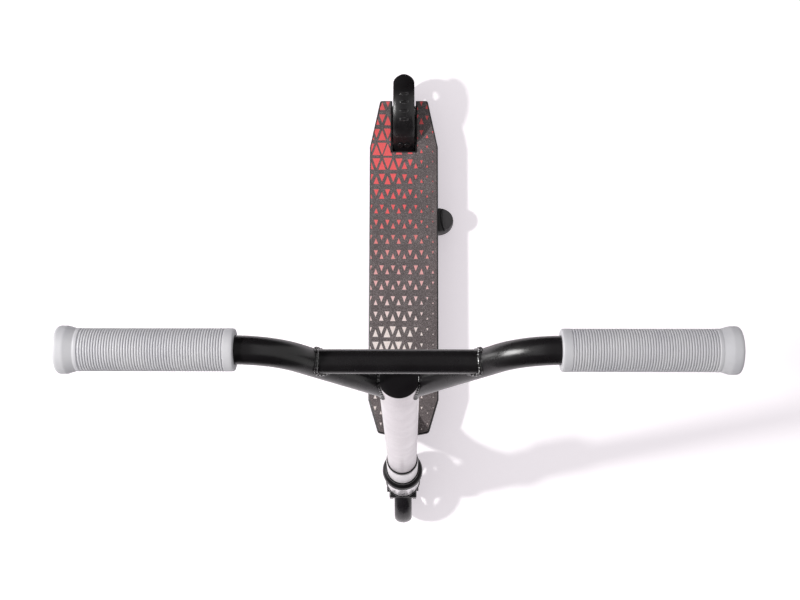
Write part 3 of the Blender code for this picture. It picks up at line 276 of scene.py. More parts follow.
@effect("worn_edges", {"Radius": 0.0006, "Breakup": 240.0, "Amount": 0.5}, "Mask")
def worn_edges(board, given):
    """Where the coat is rubbed thin along sharp edges."""
    soft = board.node("ShaderNodeBevel", {"Radius": given["Radius"]}, samples=6).outputs["Normal"]
    true = board.node("ShaderNodeNewGeometry").outputs["Normal"]
    facing = board.node("ShaderNodeVectorMath", operation="DOT_PRODUCT")
    board.feed(facing.inputs[0], soft)
    board.feed(facing.inputs[1], true)
    edge = board.span(facing.outputs["Value"], 0.985, 0.86)
    patches = board.span(board.noise(given["Breakup"], 4.0), 0.42, 0.62)
    return board.times(board.times(edge, patches), given["Amount"])


@effect("grain", {"Scale": 900.0, "Broad": 0.3}, "Height")
def grain(board, given):
    """Fine bumps of a coat or a moulding, with a broader waviness under them."""
    fine = board.noise(given["Scale"], 3.0)
    wave = board.noise(board.times(given["Scale"], 0.12), 1.0)
    return board.plus(fine, board.times(wave, given["Broad"]))


@effect("drift", {"Scale": 20.0, "Low": 0.0, "High": 1.0}, "Value")
def drift(board, given):
    """A slow change over the surface, between two values."""
    patches = board.noise(given["Scale"], 3.0)
    return board.span(patches, 0.35, 0.65, given["Low"], given["High"])


@effect("dust", {"Scale": 700.0, "Amount": 0.1}, "Mask")
def dust(board, given):
    """Sparse pale specks."""
    cells = board.node("ShaderNodeTexVoronoi", {"Scale": given["Scale"], "Vector": board.place()})
    speck = board.span(cells.outputs["Distance"], 0.16, 0.08)
    patches = board.span(board.noise(board.times(given["Scale"], 0.05), 2.0), 0.5, 0.7)
    return board.times(board.times(speck, patches), given["Amount"])


@effect("turned_lines", {"Pitch": 2600.0, "Up": 1.0, "Across": 0.0}, "Height")
def turned_lines(board, given):
    """Fine lines that a lathe leaves round a piece, stacked along its axis."""
    parts = board.node("ShaderNodeSeparateXYZ", {"Vector": board.place()})
    up = board.times(parts.outputs["Z"], given["Up"])
    across = board.times(parts.outputs["X"], given["Across"])
    height = board.times(board.plus(up, across), given["Pitch"])
    line = board.node("ShaderNodeTexNoise", {"W": height, "Scale": 1.0, "Detail": 2.0}, noise_dimensions="1D")
    return line.outputs["Fac"]


@effect("flakes", {"Scale": 1600.0, "Amount": 1.0}, "Value")
def flakes(board, given):
    """Bright and dull flakes in a metallic coat."""
    cells = board.node("ShaderNodeTexVoronoi", {"Scale": given["Scale"], "Vector": board.place()})
    parts = board.node("ShaderNodeSeparateXYZ", {"Vector": cells.outputs["Color"]})
    return board.times(parts.outputs["X"], given["Amount"])


def finish_shader(name):
    """A new material, its board and its shader."""
    made = bpy.data.materials.new(name)
    made.use_nodes = True
    shader = made.node_tree.nodes["Principled BSDF"]
    return made, Board(made.node_tree), shader


def surface(name, colour, shade, gloss, bump, metallic=0.0, fine=None, wear=None, specks=None, coat=None,
            shade_scale=22.0, flake=None, lines=None, specular=None):
    """A finish whose colour, gloss, grain, wear and specks change over the piece."""
    made, board, shader = finish_shader(name)
    tone = board.use(drift, Scale=shade_scale)
    if flake:
        tone = board.plus(board.times(tone, 0.5), board.use(flakes, Scale=flake), clamp=True)
    base = board.mix(tone, (*colour, 1.0), (*shade, 1.0))
    if specks:
        mask = board.use(dust, Scale=specks[0], Amount=specks[1])
        base = board.mix(mask, base, srgb(176, 172, 168))
    metal = metallic
    if wear:
        amount, rubbed, rubbed_metal = wear
        mask = board.use(worn_edges, Amount=amount)
        base = board.mix(mask, base, (*rubbed, 1.0))
        metal = board.span(mask, 0.0, 1.0, metallic, rubbed_metal)
    board.feed(shader.inputs["Base Color"], base)
    board.feed(shader.inputs["Metallic"], metal)
    rough = board.use(drift, Scale=shade_scale * 2.3, Low=gloss[0], High=gloss[1])
    board.feed(shader.inputs["Roughness"], rough)
    if lines:
        height = board.use(turned_lines, Pitch=lines[0], Up=lines[1], Across=lines[2])
    else:
        height = board.use(grain, Scale=fine[0], Broad=fine[1])
    relief = board.node("ShaderNodeBump", {"Height": height, "Strength": bump[0], "Distance": bump[1]})
    board.feed(shader.inputs["Normal"], relief.outputs["Normal"])
    if coat:
        shader.inputs["Coat Weight"].default_value = coat[0]
        shader.inputs["Coat Roughness"].default_value = coat[1]
    if specular is not None:
        shader.inputs["Specular IOR Level"].default_value = specular
    return made


def print_mask(board, x, y):
    """Triangles on a regular lattice, each scaled about its own middle by its size there."""
    u = board.math("DIVIDE", board.minus(x, PRINT_FIRST_X), 2 * PRINT_COLUMN)
    v = board.math("DIVIDE", board.minus(y, PRINT_ROW_Y - 0.5 * PRINT_ROW), PRINT_ROW)
    half_v = board.times(v, 0.5)
    axes = [board.plus(u, half_v), board.minus(half_v, u), board.times(v, -1.0)]
    parts = [board.math("FRACT", a) for a in axes]
    total = board.plus(board.plus(parts[0], parts[1]), parts[2])
    flipped = board.math("GREATER_THAN", total, 1.5)
    weights = []
    for part in parts:
        turn = board.times(flipped, board.minus(1.0, board.times(part, 2.0)))
        weights.append(board.plus(part, turn))
    inside = board.math("MINIMUM", board.math("MINIMUM", weights[0], weights[1]), weights[2])
    third = board.math("DIVIDE", total, 3.0)
    middles = [board.plus(board.math("FLOOR", a), third) for a in axes]
    middle_u = board.times(board.minus(middles[0], middles[1]), 0.5)
    middle_v = board.times(middles[2], -1.0)
    middle_x = board.math("MULTIPLY_ADD", middle_u, 2 * PRINT_COLUMN, PRINT_FIRST_X)
    middle_y = board.math("MULTIPLY_ADD", middle_v, PRINT_ROW, PRINT_ROW_Y - 0.5 * PRINT_ROW)
    size = print_size(board, middle_x, middle_y)
    edge = board.minus(board.times(inside, 3.0), board.minus(1.0, size))
    return board.math("MULTIPLY_ADD", edge, 42.0, 0.5, clamp=True)


def swelled(board, x, y, swelling, size):
    """A size that grows by a soft swelling somewhere on the deck."""
    amount, middle_y, reach_y, middle_x, reach_x = swelling
    there = board.times(board.bell(y, middle_y, reach_y), board.bell(x, middle_x, reach_x))
    return board.math("MULTIPLY_ADD", there, amount, size)


def print_size(board, x, y):
    """How large a triangle is: swells at the left of both ends, dwindles to the right and the nose."""
    size = swelled(board, x, y, REAR_SWELLING, PLAIN_SIZE)
    size = swelled(board, x, y, FRONT_SWELLING, size)
    middle = board.bell(y, 0.035, 0.045)
    start = board.math("MULTIPLY_ADD", middle, 0.022, 0.008)
    reach = board.minus(0.044, start)
    dwindle = board.math("DIVIDE", board.minus(x, start), reach, clamp=True)
    loss = board.times(dwindle, board.math("MULTIPLY_ADD", middle, -0.30, 0.78))
    size = board.times(size, board.minus(1.0, loss))
    size = swelled(board, x, y, CORNER_SWELLING, size)
    nose = board.span(y, -0.12, -0.185, 1.0, 0.55)
    scattered = [board.times(value, 997.0) for value in (x, y)]
    spot = board.node("ShaderNodeCombineXYZ", {"X": scattered[0], "Y": scattered[1]})
    chance = board.node("ShaderNodeTexWhiteNoise", noise_dimensions="2D")
    board.feed(chance.inputs["Vector"], spot.outputs["Vector"])
    spread = board.span(chance.outputs["Value"], 0.0, 1.0, 0.90, 1.10)
    return board.times(board.times(size, nose), spread)


def tape_finish():
    """Gritty tape with the triangles printed on it, red at the rear and nearly white at the nose."""
    made, board, shader = finish_shader("grip_tape_grit")
    place = board.node("ShaderNodeSeparateXYZ", {"Vector": board.place()})
    x, y = place.outputs["X"], place.outputs["Y"]
    ramp = board.node("ShaderNodeValToRGB", {"Fac": board.span(y, -0.21, 0.29)})
    stops = ramp.color_ramp.elements
    stops[0].position, stops[0].color = 0.30, srgb(240, 228, 224)
    stops[1].position, stops[1].color = 0.66, srgb(245, 100, 102)
    for spot, colour in ((0.38, (238, 212, 210)), (0.44, (236, 185, 184)), (0.59, (232, 130, 128))):
        stops.new(spot).color = srgb(*colour)
    grit = board.node("ShaderNodeTexVoronoi", {"Scale": 1500.0, "Vector": board.place()})
    grains = board.node("ShaderNodeSeparateXYZ", {"Vector": grit.outputs["Color"]})
    sparkle = board.math("POWER", grains.outputs["X"], 3.0)
    dark = board.mix(sparkle, srgb(88, 80, 81), srgb(150, 141, 141))
    worn = board.use(drift, Scale=34.0)
    dark = board.mix(board.times(worn, 0.35), dark, srgb(78, 72, 73))
    ink = board.mix(board.times(sparkle, 0.30), ramp.outputs["Color"], srgb(120, 96, 96))
    covered = board.times(print_mask(board, x, y), board.span(board.noise(2600.0, 2.0), 0.20, 0.36))
    board.feed(shader.inputs["Base Color"], board.mix(covered, dark, ink))
    board.feed(shader.inputs["Roughness"], board.span(grains.outputs["Y"], 0.0, 1.0, 0.72, 0.98))
    height = board.minus(1.0, grit.outputs["Distance"])
    relief = board.node("ShaderNodeBump", {"Height": height, "Strength": 0.55, "Distance": 0.0003})
    board.feed(shader.inputs["Normal"], relief.outputs["Normal"])
    shader.inputs["Specular IOR Level"].default_value = 0.25
    return made


BARE_METAL = (0.55, 0.55, 0.56)
ALONG_STEERING = (STEERING_AXIS.z, 0.0)
ALONG_X = (0.0, 1.0)

# each finish's two colours and its range of roughness, then what sets it apart
FINISHES = {
    "deck_coat": ((0.010, 0.009, 0.010), (0.016, 0.014, 0.016), (0.30, 0.42), {
        "specular": 0.3, "wear": (0.35, BARE_METAL, 0.8), "specks": (640.0, 0.12), "fine": (1100.0, 0.5),
        "bump": (0.12, 0.0001)}),
    "bar_coat": ((0.008, 0.007, 0.008), (0.012, 0.011, 0.012), (0.25, 0.31), {
        "specular": 0.38, "specks": (520.0, 0.08), "fine": (700.0, 0.9), "bump": (0.06, 0.00008)}),
    "weld_metal": ((0.008, 0.007, 0.008), (0.014, 0.013, 0.014), (0.14, 0.22), {
        "coat": (1.0, 0.07), "fine": (1500.0, 0.9), "bump": (0.20, 0.0001)}),
    "brake_coat": ((0.008, 0.007, 0.008), (0.013, 0.012, 0.013), (0.24, 0.34), {
        "specular": 0.4, "wear": (0.5, BARE_METAL, 0.9), "specks": (480.0, 0.15), "fine": (800.0, 0.7),
        "bump": (0.12, 0.0001)}),
    "silver_coat": ((0.46, 0.43, 0.45), (0.56, 0.53, 0.545), (0.30, 0.40), {
        "metallic": 0.8, "flake": 1700.0, "coat": (0.3, 0.12), "fine": (800.0, 0.4), "bump": (0.08, 0.00008)}),
    "clamp_coat": ((0.62, 0.60, 0.615), (0.74, 0.72, 0.735), (0.30, 0.40), {
        "metallic": 0.4, "flake": 1500.0, "wear": (0.25, (0.75, 0.75, 0.76), 0.9), "fine": (700.0, 0.4),
        "bump": (0.10, 0.0001)}),
    "polished": ((0.66, 0.65, 0.66), (0.58, 0.57, 0.58), (0.21, 0.29), {
        "metallic": 1.0, "lines": (2600.0, *ALONG_STEERING), "bump": (0.04, 0.00004)}),
    "black_oxide": ((0.020, 0.019, 0.021), (0.032, 0.030, 0.032), (0.28, 0.42), {
        "metallic": 0.7, "wear": (0.6, BARE_METAL, 1.0), "fine": (1200.0, 0.3), "bump": (0.10, 0.00006)}),
    "bright_zinc": ((0.56, 0.56, 0.57), (0.44, 0.44, 0.46), (0.26, 0.40), {
        "metallic": 1.0, "lines": (1900.0, *ALONG_X), "bump": (0.06, 0.00005)}),
    "tyre_urethane": ((0.009, 0.008, 0.010), (0.016, 0.014, 0.017), (0.22, 0.32), {
        "specks": (420.0, 0.10), "fine": (420.0, 0.6), "bump": (0.08, 0.0001)}),
    "core_plastic": ((0.016, 0.016, 0.018), (0.024, 0.024, 0.026), (0.24, 0.34), {
        "fine": (900.0, 0.3), "bump": (0.08, 0.00006)}),
    "black_moulding": ((0.006, 0.005, 0.006), (0.010, 0.009, 0.010), (0.30, 0.40), {
        "specular": 0.15, "specks": (760.0, 0.08), "fine": (1500.0, 0.4), "bump": (0.14, 0.0001)}),
    "foot_rubber": ((0.018, 0.016, 0.018), (0.030, 0.027, 0.030), (0.48, 0.62), {
        "specks": (420.0, 0.3), "fine": (1000.0, 0.4), "bump": (0.22, 0.00012)}),
    "grip_rubber": ((0.50, 0.50, 0.53), (0.56, 0.56, 0.58), (0.50, 0.62), {
        "shade_scale": 30.0, "fine": (1300.0, 0.4), "bump": (0.18, 0.0001)}),
}
LOOKS = {name: surface(name, *tones, **extras) for name, (*tones, extras) in FINISHES.items()}
LOOKS["tape"] = tape_finish()


def grow_tree(name, inputs):
    """Starts a geometry tree with one mesh in, named sizes and one mesh out."""
    tree = bpy.data.node_groups.new(name, "GeometryNodeTree")
    tree.interface.new_socket("Geometry", in_out="INPUT", socket_type="NodeSocketGeometry")
    for label, kind in inputs.items():
        tree.interface.new_socket(label, in_out="INPUT", socket_type=f"NodeSocket{kind}")
    tree.interface.new_socket("Geometry", in_out="OUTPUT", socket_type="NodeSocketGeometry")
    board = Board(tree)
    return tree, board, board.node("NodeGroupInput").outputs


def end_tree(board, geometry, material):
    """Makes a tree's copies real, paints them and puts them out."""
    real = board.node("GeometryNodeRealizeInstances", {"Geometry": geometry}).outputs[0]
    painted = board.node("GeometryNodeSetMaterial", {"Geometry": real, "Material": material}).outputs[0]
    board.tree.links.new(painted, board.node("NodeGroupOutput").inputs["Geometry"])


def row_tree():
    """Repeats the mesh that it is given along a straight row."""
    tree, board, given = grow_tree("row_of", {"Count": "Int", "Step": "Vector", "Material": "Material"})
    line = board.node("GeometryNodeMeshLine", {"Count": given["Count"], "Offset": given["Step"]})
    one = board.node("GeometryNodeGeometryToInstance", {"Geometry": given["Geometry"]})
    spread = board.node("GeometryNodeInstanceOnPoints", {"Points": line.outputs[0], "Instance": one.outputs[0]})
    end_tree(board, spread.outputs[0], given["Material"])
    return tree


def round_tree():
    """Repeats the mesh that it is given round the X axis, from a first angle by a step."""
    inputs = {"Count": "Int", "First Angle": "Float", "Angle Step": "Float", "Material": "Material"}
    tree, board, given = grow_tree("round_of", inputs)
    line = board.node("GeometryNodeMeshLine", {"Count": given["Count"], "Offset": (0.0, 0.0, 0.0)})
    one = board.node("GeometryNodeGeometryToInstance", {"Geometry": given["Geometry"]})
    number = board.node("GeometryNodeInputIndex").outputs[0]
    angle = board.math("MULTIPLY_ADD", number, given["Angle Step"], given["First Angle"])
    turn = board.node("ShaderNodeCombineXYZ", {"X": angle})
    spread = board.node("GeometryNodeInstanceOnPoints", {
        "Points": line.outputs[0], "Instance": one.outputs[0], "Rotation": turn.outputs[0]})
    end_tree(board, spread.outputs[0], given["Material"])
    return tree


def weld_tree():
    """Lays overlapping weld beads and a fillet under them along the edges that it is given."""
    inputs = {"Spacing": "Float", "Bead Radius": "Float", "Material": "Material"}
    tree, board, given = grow_tree("weld_beads", inputs)
    curve = board.node("GeometryNodeMeshToCurve", {"Mesh": given["Geometry"]}).outputs[0]
    even = board.node("GeometryNodeResampleCurve", {"Curve": curve, "Length": given["Spacing"]}, mode="LENGTH")
    ball = board.node("GeometryNodeMeshIcoSphere", {"Radius": given["Bead Radius"], "Subdivisions": 3})
    flat = board.node("GeometryNodeTransform", {"Geometry": ball.outputs[0], "Scale": (1.0, 1.0, 0.62)})
    tangent = board.node("GeometryNodeInputTangent").outputs[0]
    lean = board.node("FunctionNodeAlignRotationToVector", {"Vector": tangent}, axis="Z")
    beads = board.node("GeometryNodeInstanceOnPoints", {
        "Points": even.outputs[0], "Instance": flat.outputs[0], "Rotation": lean.outputs[0]})
    ring = board.node("GeometryNodeCurvePrimitiveCircle", {
        "Resolution": 10, "Radius": board.times(given["Bead Radius"], 0.86)})
    fillet = board.node("GeometryNodeCurveToMesh", {"Curve": even.outputs[0], "Profile Curve": ring.outputs[0]})
    joined = board.node("GeometryNodeJoinGeometry")
    board.feed(joined.inputs[0], beads.outputs[0])
    board.feed(joined.inputs[0], fillet.outputs[0])
    end_tree(board, joined.outputs[0], given["Material"])
    return tree


ROW_OF = row_tree()
ROUND_OF = round_tree()
WELD_BEADS = weld_tree()


def add_object(name, mesh):
    """A new object in the scene."""
    item = bpy.data.objects.new(name, mesh)
    bpy.context.scene.collection.objects.link(item)
    return item


def from_bmesh(name, bm):
    """A new object from a built mesh, its faces turned outwards."""
    bmesh.ops.recalc_face_normals(bm, faces=bm.faces)
    mesh = bpy.data.meshes.new(name)
    bm.to_mesh(mesh)
    bm.free()
    return add_object(name, mesh)


def bake(item):
    """Replaces an object's mesh with what its modifiers make of it."""
    graph = bpy.context.evaluated_depsgraph_get()
    mesh = bpy.data.meshes.new_from_object(item.evaluated_get(graph), depsgraph=graph)
    item.modifiers.clear()
    item.data = mesh
    return item


def grown(item, tree, **values):
    """Runs a geometry tree on the object and keeps the plain mesh."""
    step = item.modifiers.new(tree.name, "NODES")
    step.node_group = tree
    sockets = {s.name: s.identifier for s in tree.interface.items_tree if s.in_out == "INPUT"}
    for label, value in values.items():
        step[sockets[label.replace("_", " ")]] = value
    return bake(item)


def move(item, matrix):
    """Moves a piece in its own mesh."""
    item.data.transform(matrix)
    item.data.update()
    return item


def join(name, items):
    """One object from several."""
    bm = bmesh.new()
    for item in items:
        bm.from_mesh(item.data)
        bpy.data.objects.remove(item, do_unlink=True)
    mesh = bpy.data.meshes.new(name)
    bm.to_mesh(mesh)
    bm.free()
    return add_object(name, mesh)


def bevelled(item, width, segments=3, angle=30.0):
    """Rounds the sharp edges of a piece."""
    step = item.modifiers.new("edges", "BEVEL")
    step.width = width
    step.segments = segments
    step.limit_method = "ANGLE"
    step.angle_limit = math.radians(angle)
    return bake(item)


def settle(item, body, look, stands_for=(), matrix=None, angle=38.0):
    """Puts a finished piece in place, gives it its finish and hangs it on its body."""
    if matrix is not None:
        move(item, matrix)
    item.data.name = item.name
    item.data.materials.clear()
    item.data.materials.append(LOOKS[look])
    item.data.shade_smooth()
    item.data.set_sharp_from_angle(angle=math.radians(angle))
    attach(item, body)
    if stands_for:
        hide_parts(*stands_for)
    return item


def softened(points, steps=4):
    """Rounds the corners of a closed outline of (x, y, rounding) points."""
    result = []
    count = len(points)
    for index, (x, y, rounding) in enumerate(points):
        corner = Vector((x, y))
        if rounding <= 0:
            result.append((x, y))
            continue
        before = Vector(points[index - 1][:2]) - corner
        after = Vector(points[(index + 1) % count][:2]) - corner
        start = corner + before.normalized() * min(rounding, 0.48 * before.length)
        end = corner + after.normalized() * min(rounding, 0.48 * after.length)
        for step in range(steps + 1):
            t = step / steps
            spot = start * (1 - t) ** 2 + corner * 2 * t * (1 - t) + end * t * t
            result.append((spot.x, spot.y))
    return result


def ring_outline(bore, outer, low, high, inside, outside):
    """A plain ring's outline, with the rounding of its inner and outer corners."""
    return [(bore, low, inside), (outer, low, outside), (outer, high, outside), (bore, high, inside)]


def mirrored(half):
    """A closed outline from one half of it, the other half upside down."""
    return half + [(radius, -height, rounding) for radius, height, rounding in reversed(half)]


def turned(name, points, segments=64, steps=4):
    """Revolves a closed outline of (radius, height, rounding) about Z."""
    outline = softened(points, steps)
    bm = bmesh.new()
    verts = [bm.verts.new((max(r, 0.0), 0.0, z)) for r, z in outline]
    edges = [bm.edges.new((a, b)) for a, b in zip(verts, verts[1:])]
    if min(r for r, z in outline) > 1e-6:
        edges.append(bm.edges.new((verts[-1], verts[0])))
    bmesh.ops.spin(bm, geom=verts + edges, axis=(0, 0, 1), cent=(0, 0, 0),
                   steps=segments, angle=math.tau, use_duplicate=False)
    bmesh.ops.remove_doubles(bm, verts=bm.verts, dist=1e-6)
    return from_bmesh(name, bm)


def loft(name, loops):
    """A skin over rings of equally many points, closed at both ends."""
    bm = bmesh.new()
    rings = [[bm.verts.new(point) for point in loop] for loop in loops]
    for low, high in zip(rings, rings[1:]):
        for i in range(len(low)):
            j = (i + 1) % len(low)
            bm.faces.new((low[i], low[j], high[j], high[i]))
    bm.faces.new(rings[0])
    bm.faces.new(rings[-1])
    return from_bmesh(name, bm)


def tube(name, path, radius):
    """A closed round bar along points in the handlebar's plane."""
    across = Vector((0.0, 1.0, 0.0))
    turns = [math.tau * i / 48 for i in range(48)]
    loops = []
    for index, point in enumerate(path):
        before = path[max(index - 1, 0)]
        after = path[min(index + 1, len(path) - 1)]
        side = (after - before).normalized().cross(across)
        loops.append([point + radius * (math.cos(a) * across + math.sin(a) * side) for a in turns])
    return loft(name, loops)


def path_edges(name, points, closed):
    """A chain of edges for the weld beads to follow."""
    mesh = bpy.data.meshes.new(name)
    links = [(i, i + 1) for i in range(len(points) - 1)]
    if closed:
        links.append((len(points) - 1, 0))
    mesh.from_pydata([tuple(p) for p in points], links, [])
    return add_object(name, mesh)


def weld(name, body, look, paths, radius, matrix=None):
    """Weld beads along one or more paths."""
    rows = []
    for index, (points, closed) in enumerate(paths):
        row = path_edges(f"{name}_{index}", points, closed)
        rows.append(grown(row, WELD_BEADS, Spacing=1.55 * radius, Bead_Radius=radius, Material=LOOKS[look]))
    return settle(join(name, rows), body, look, matrix=matrix, angle=80.0)


def span_of(node, matrix):
    """Lowest and highest corner of a CAD node, in the frame that it is drawn in."""
    back = matrix.inverted()
    points = [back @ vertex.co for vertex in NODES[node].data.vertices]
    return [Vector([pick(p[i] for p in points) for i in range(3)]) for pick in (min, max)]


# measures taken from the frame
GRIP_LOW, GRIP_HIGH = span_of("left_grip", STEERING)
BAR_HEIGHT = 0.5 * (GRIP_LOW.z + GRIP_HIGH.z)
GRIP_INNER = GRIP_LOW.x
GRIP_LENGTH = GRIP_HIGH.x - GRIP_LOW.x
BAR_END = span_of("left_bar_plug", STEERING)[1].x
BEND_TANGENT = BEND_RADIUS * math.tan(0.5 * WING_ANGLE)
WING_CORNER = GRIP_INNER + BEND_LAP - BEND_TANGENT
WING_ROOT = BAR_HEIGHT - WING_CORNER * math.tan(WING_ANGLE)
WING_SLOPE = Vector((math.cos(WING_ANGLE), 0.0, math.sin(WING_ANGLE)))
HALF_TURN = Matrix.Rotation(math.pi, 4, "Z")
ALONG_BAR = Matrix.Translation((0.0, 0.0, BAR_HEIGHT)) @ Matrix.Rotation(math.pi / 2, 4, "Y")
LAID = Matrix.Rotation(math.pi / 2, 4, "Y")
DECK_LOW, DECK_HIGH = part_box("deck")
TO_HINGE = BRAKE_HINGE - REAR_AXLE
SPLIT = math.atan2(TO_HINGE.z, -TO_HINGE.y)    # where the fender's arch leaves its foot
FOOT_UP = Vector((0.0, -math.cos(SPLIT), math.sin(SPLIT)))
FOOT_DOWN = Vector((0.0, -math.sin(SPLIT), -math.cos(SPLIT)))
SPLIT_POINT = FENDER_MIDDLE * FOOT_UP


def grip(name, stands_for, turn):
    """A grip: collar, ribs and flared outer end, drawn from its inner end along Z."""
    bore = BAR_RADIUS + 0.0002
    mouth = PLUG_RADIUS + 0.0004
    edge = RIB_RADIUS + 0.0001
    ribs_end = COLLAR_LENGTH + RIB_COUNT * RIB_PITCH
    rim = GRIP_LENGTH + LIP_LENGTH
    band = rim - BAND_LENGTH
    barrel = [(bore, 0.0, 0.0003), (RIB_RADIUS - 0.0004, 0.0, 0.0012), (RIB_RADIUS, 0.0022, 0.001),
              (RIB_RADIUS, COLLAR_LENGTH - 0.0004, 0.0005), (GROOVE_RADIUS, COLLAR_LENGTH, 0.0003),
              (GROOVE_RADIUS, ribs_end + 0.0002, 0.0003), (edge, ribs_end + 0.0008, 0.0005),
              (edge, ribs_end + 0.0030, 0.0008), (NECK_RADIUS, ribs_end + 0.0036, 0.0008),
              (FLARE_RADIUS - 0.0001, band, 0.0010), (FLARE_RADIUS, rim, 0.0036), (mouth, rim, 0.0003),
              (mouth, GRIP_LENGTH, 0.0002), (bore, GRIP_LENGTH, 0.0003)]
    body = turned(name + "_barrel", barrel, 72, 7)
    half = 0.5 * RIB_WIDTH
    crown = [(GROOVE_RADIUS - 0.0002, -half, 0.0), (RIB_RADIUS, -half, 0.0005), (RIB_RADIUS, half, 0.0005),
             (GROOVE_RADIUS - 0.0002, half, 0.0)]
    rib = turned(name + "_ribs", crown, 56)
    move(rib, Matrix.Translation((0.0, 0.0, COLLAR_LENGTH + 0.5 * RIB_PITCH)))
    ribs = grown(rib, ROW_OF, Count=RIB_COUNT, Step=(0.0, 0.0, RIB_PITCH), Material=LOOKS["grip_rubber"])
    whole = join(name, [body, ribs])
    place = STEERING @ turn @ ALONG_BAR @ Matrix.Translation((0.0, 0.0, GRIP_INNER))
    return settle(whole, "steering", "grip_rubber", (stands_for,), place, 30.0)


def bar_plug(name, stands_for, turn):
    """A dished plastic plug in the bar's end."""
    outline = [(0.0, -0.012, 0.0), (0.0088, -0.012, 0.0006), (0.0088, -PLUG_LIP, 0.0),
               (PLUG_RADIUS, -PLUG_LIP, 0.0002), (PLUG_RADIUS, -0.0002, 0.0004),
               (PLUG_RADIUS - 0.0012, 0.0, 0.0006), (PLUG_RADIUS - 0.0042, -0.0009, 0.0012),
               (0.0045, -0.0007, 0.002), (0.0, -0.0004, 0.0)]
    item = turned(name, outline, 56)
    place = STEERING @ turn @ ALONG_BAR @ Matrix.Translation((0.0, 0.0, BAR_END))
    return settle(item, "steering", "black_moulding", (stands_for,), place)


def wing(name, stands_for, side):
    """From inside the downtube up the wing, round the bend and out under the grip."""
    corner = Vector((WING_CORNER, 0.0, BAR_HEIGHT))
    centre = Vector((WING_CORNER + BEND_TANGENT, 0.0, BAR_HEIGHT - BEND_RADIUS))
    path = [corner - WING_SLOPE * ((corner.x - 0.004) / WING_SLOPE.x), corner - BEND_TANGENT * WING_SLOPE]
    steps = 20
    for index in range(1, steps + 1):
        angle = math.pi / 2 + WING_ANGLE * (1 - index / steps)
        path.append(centre + BEND_RADIUS * Vector((math.cos(angle), 0.0, math.sin(angle))))
    path.append(Vector((BAR_END - 0.004, 0.0, BAR_HEIGHT)))
    path = [Vector((side * p.x, p.y, p.z)) for p in path]
    item = tube(name, path, BAR_RADIUS)
    return settle(item, "steering", "bar_coat", (stands_for,), STEERING, 50.0)


def crossbar():
    """The straight bar between the wings, its ends buried in them."""
    reach = WING_CORNER - CROSSBAR_DROP / math.tan(WING_ANGLE)
    height = BAR_HEIGHT - CROSSBAR_DROP
    ends = [Vector((x, 0.0, height)) for x in (-reach, reach)]
    item = tube("crossbar_tube", ends, CROSSBAR_RADIUS)
    settle(item, "steering", "bar_coat", ("crossbar",), STEERING, 50.0)
    return reach, height


def bar_welds(reach, height):
    """Beads where the wings meet the downtube and the crossbar meets the wings."""
    paths = []
    turns = [math.tau * i / 48 for i in range(48)]
    normal = Vector((-WING_SLOPE.z, 0.0, WING_SLOPE.x))
    for side in (1, -1):
        points = []
        for angle in turns:
            spot = BAR_RADIUS * (math.cos(angle) * Vector((0, 1, 0)) + math.sin(angle) * normal)
            along = (math.sqrt(DOWNTUBE_RADIUS ** 2 - spot.y ** 2) - spot.x) / WING_SLOPE.x
            point = spot + along * WING_SLOPE
            points.append((side * point.x, point.y, point.z + WING_ROOT))
        paths.append((points, True))
        points = []
        for angle in turns:
            y, z = CROSSBAR_RADIUS * math.cos(angle), CROSSBAR_RADIUS * math.sin(angle)
            x = reach + (z * WING_SLOPE.x - math.sqrt(BAR_RADIUS ** 2 - y * y)) / WING_SLOPE.z
            points.append((side * x, y, height + z))
        paths.append((points, True))
    weld("handlebar_welds", "steering", "weld_metal", paths, BAR_BEAD, STEERING)


def downtube():
    """The silver tube and the moulded cap in its top."""
    low, high = span_of("downtube", STEERING)
    bore = DOWNTUBE_RADIUS - TUBE_WALL
    outline = ring_outline(bore, DOWNTUBE_RADIUS, low.z, high.z, 0.0003, 0.0004)
    item = turned("downtube_tube", outline, 80)
    settle(item, "steering", "silver_coat", ("downtube",), STEERING)
    top = high.z + 0.0003
    edge = DOWNTUBE_RADIUS
    skirt = bore - 0.0003
    cap = [(0.0, top - 0.008, 0.0), (skirt, top - 0.008, 0.0005), (skirt, top, 0.0), (edge, top, 0.0002),
           (edge, top + 0.0013, 0.0009), (edge - 0.0045, top + 0.0021, 0.003), (0.0, top + 0.0022, 0.0)]
    settle(turned("downtube_cap_moulded", cap, 72), "steering", "black_moulding",
           ("downtube_cap",), STEERING)


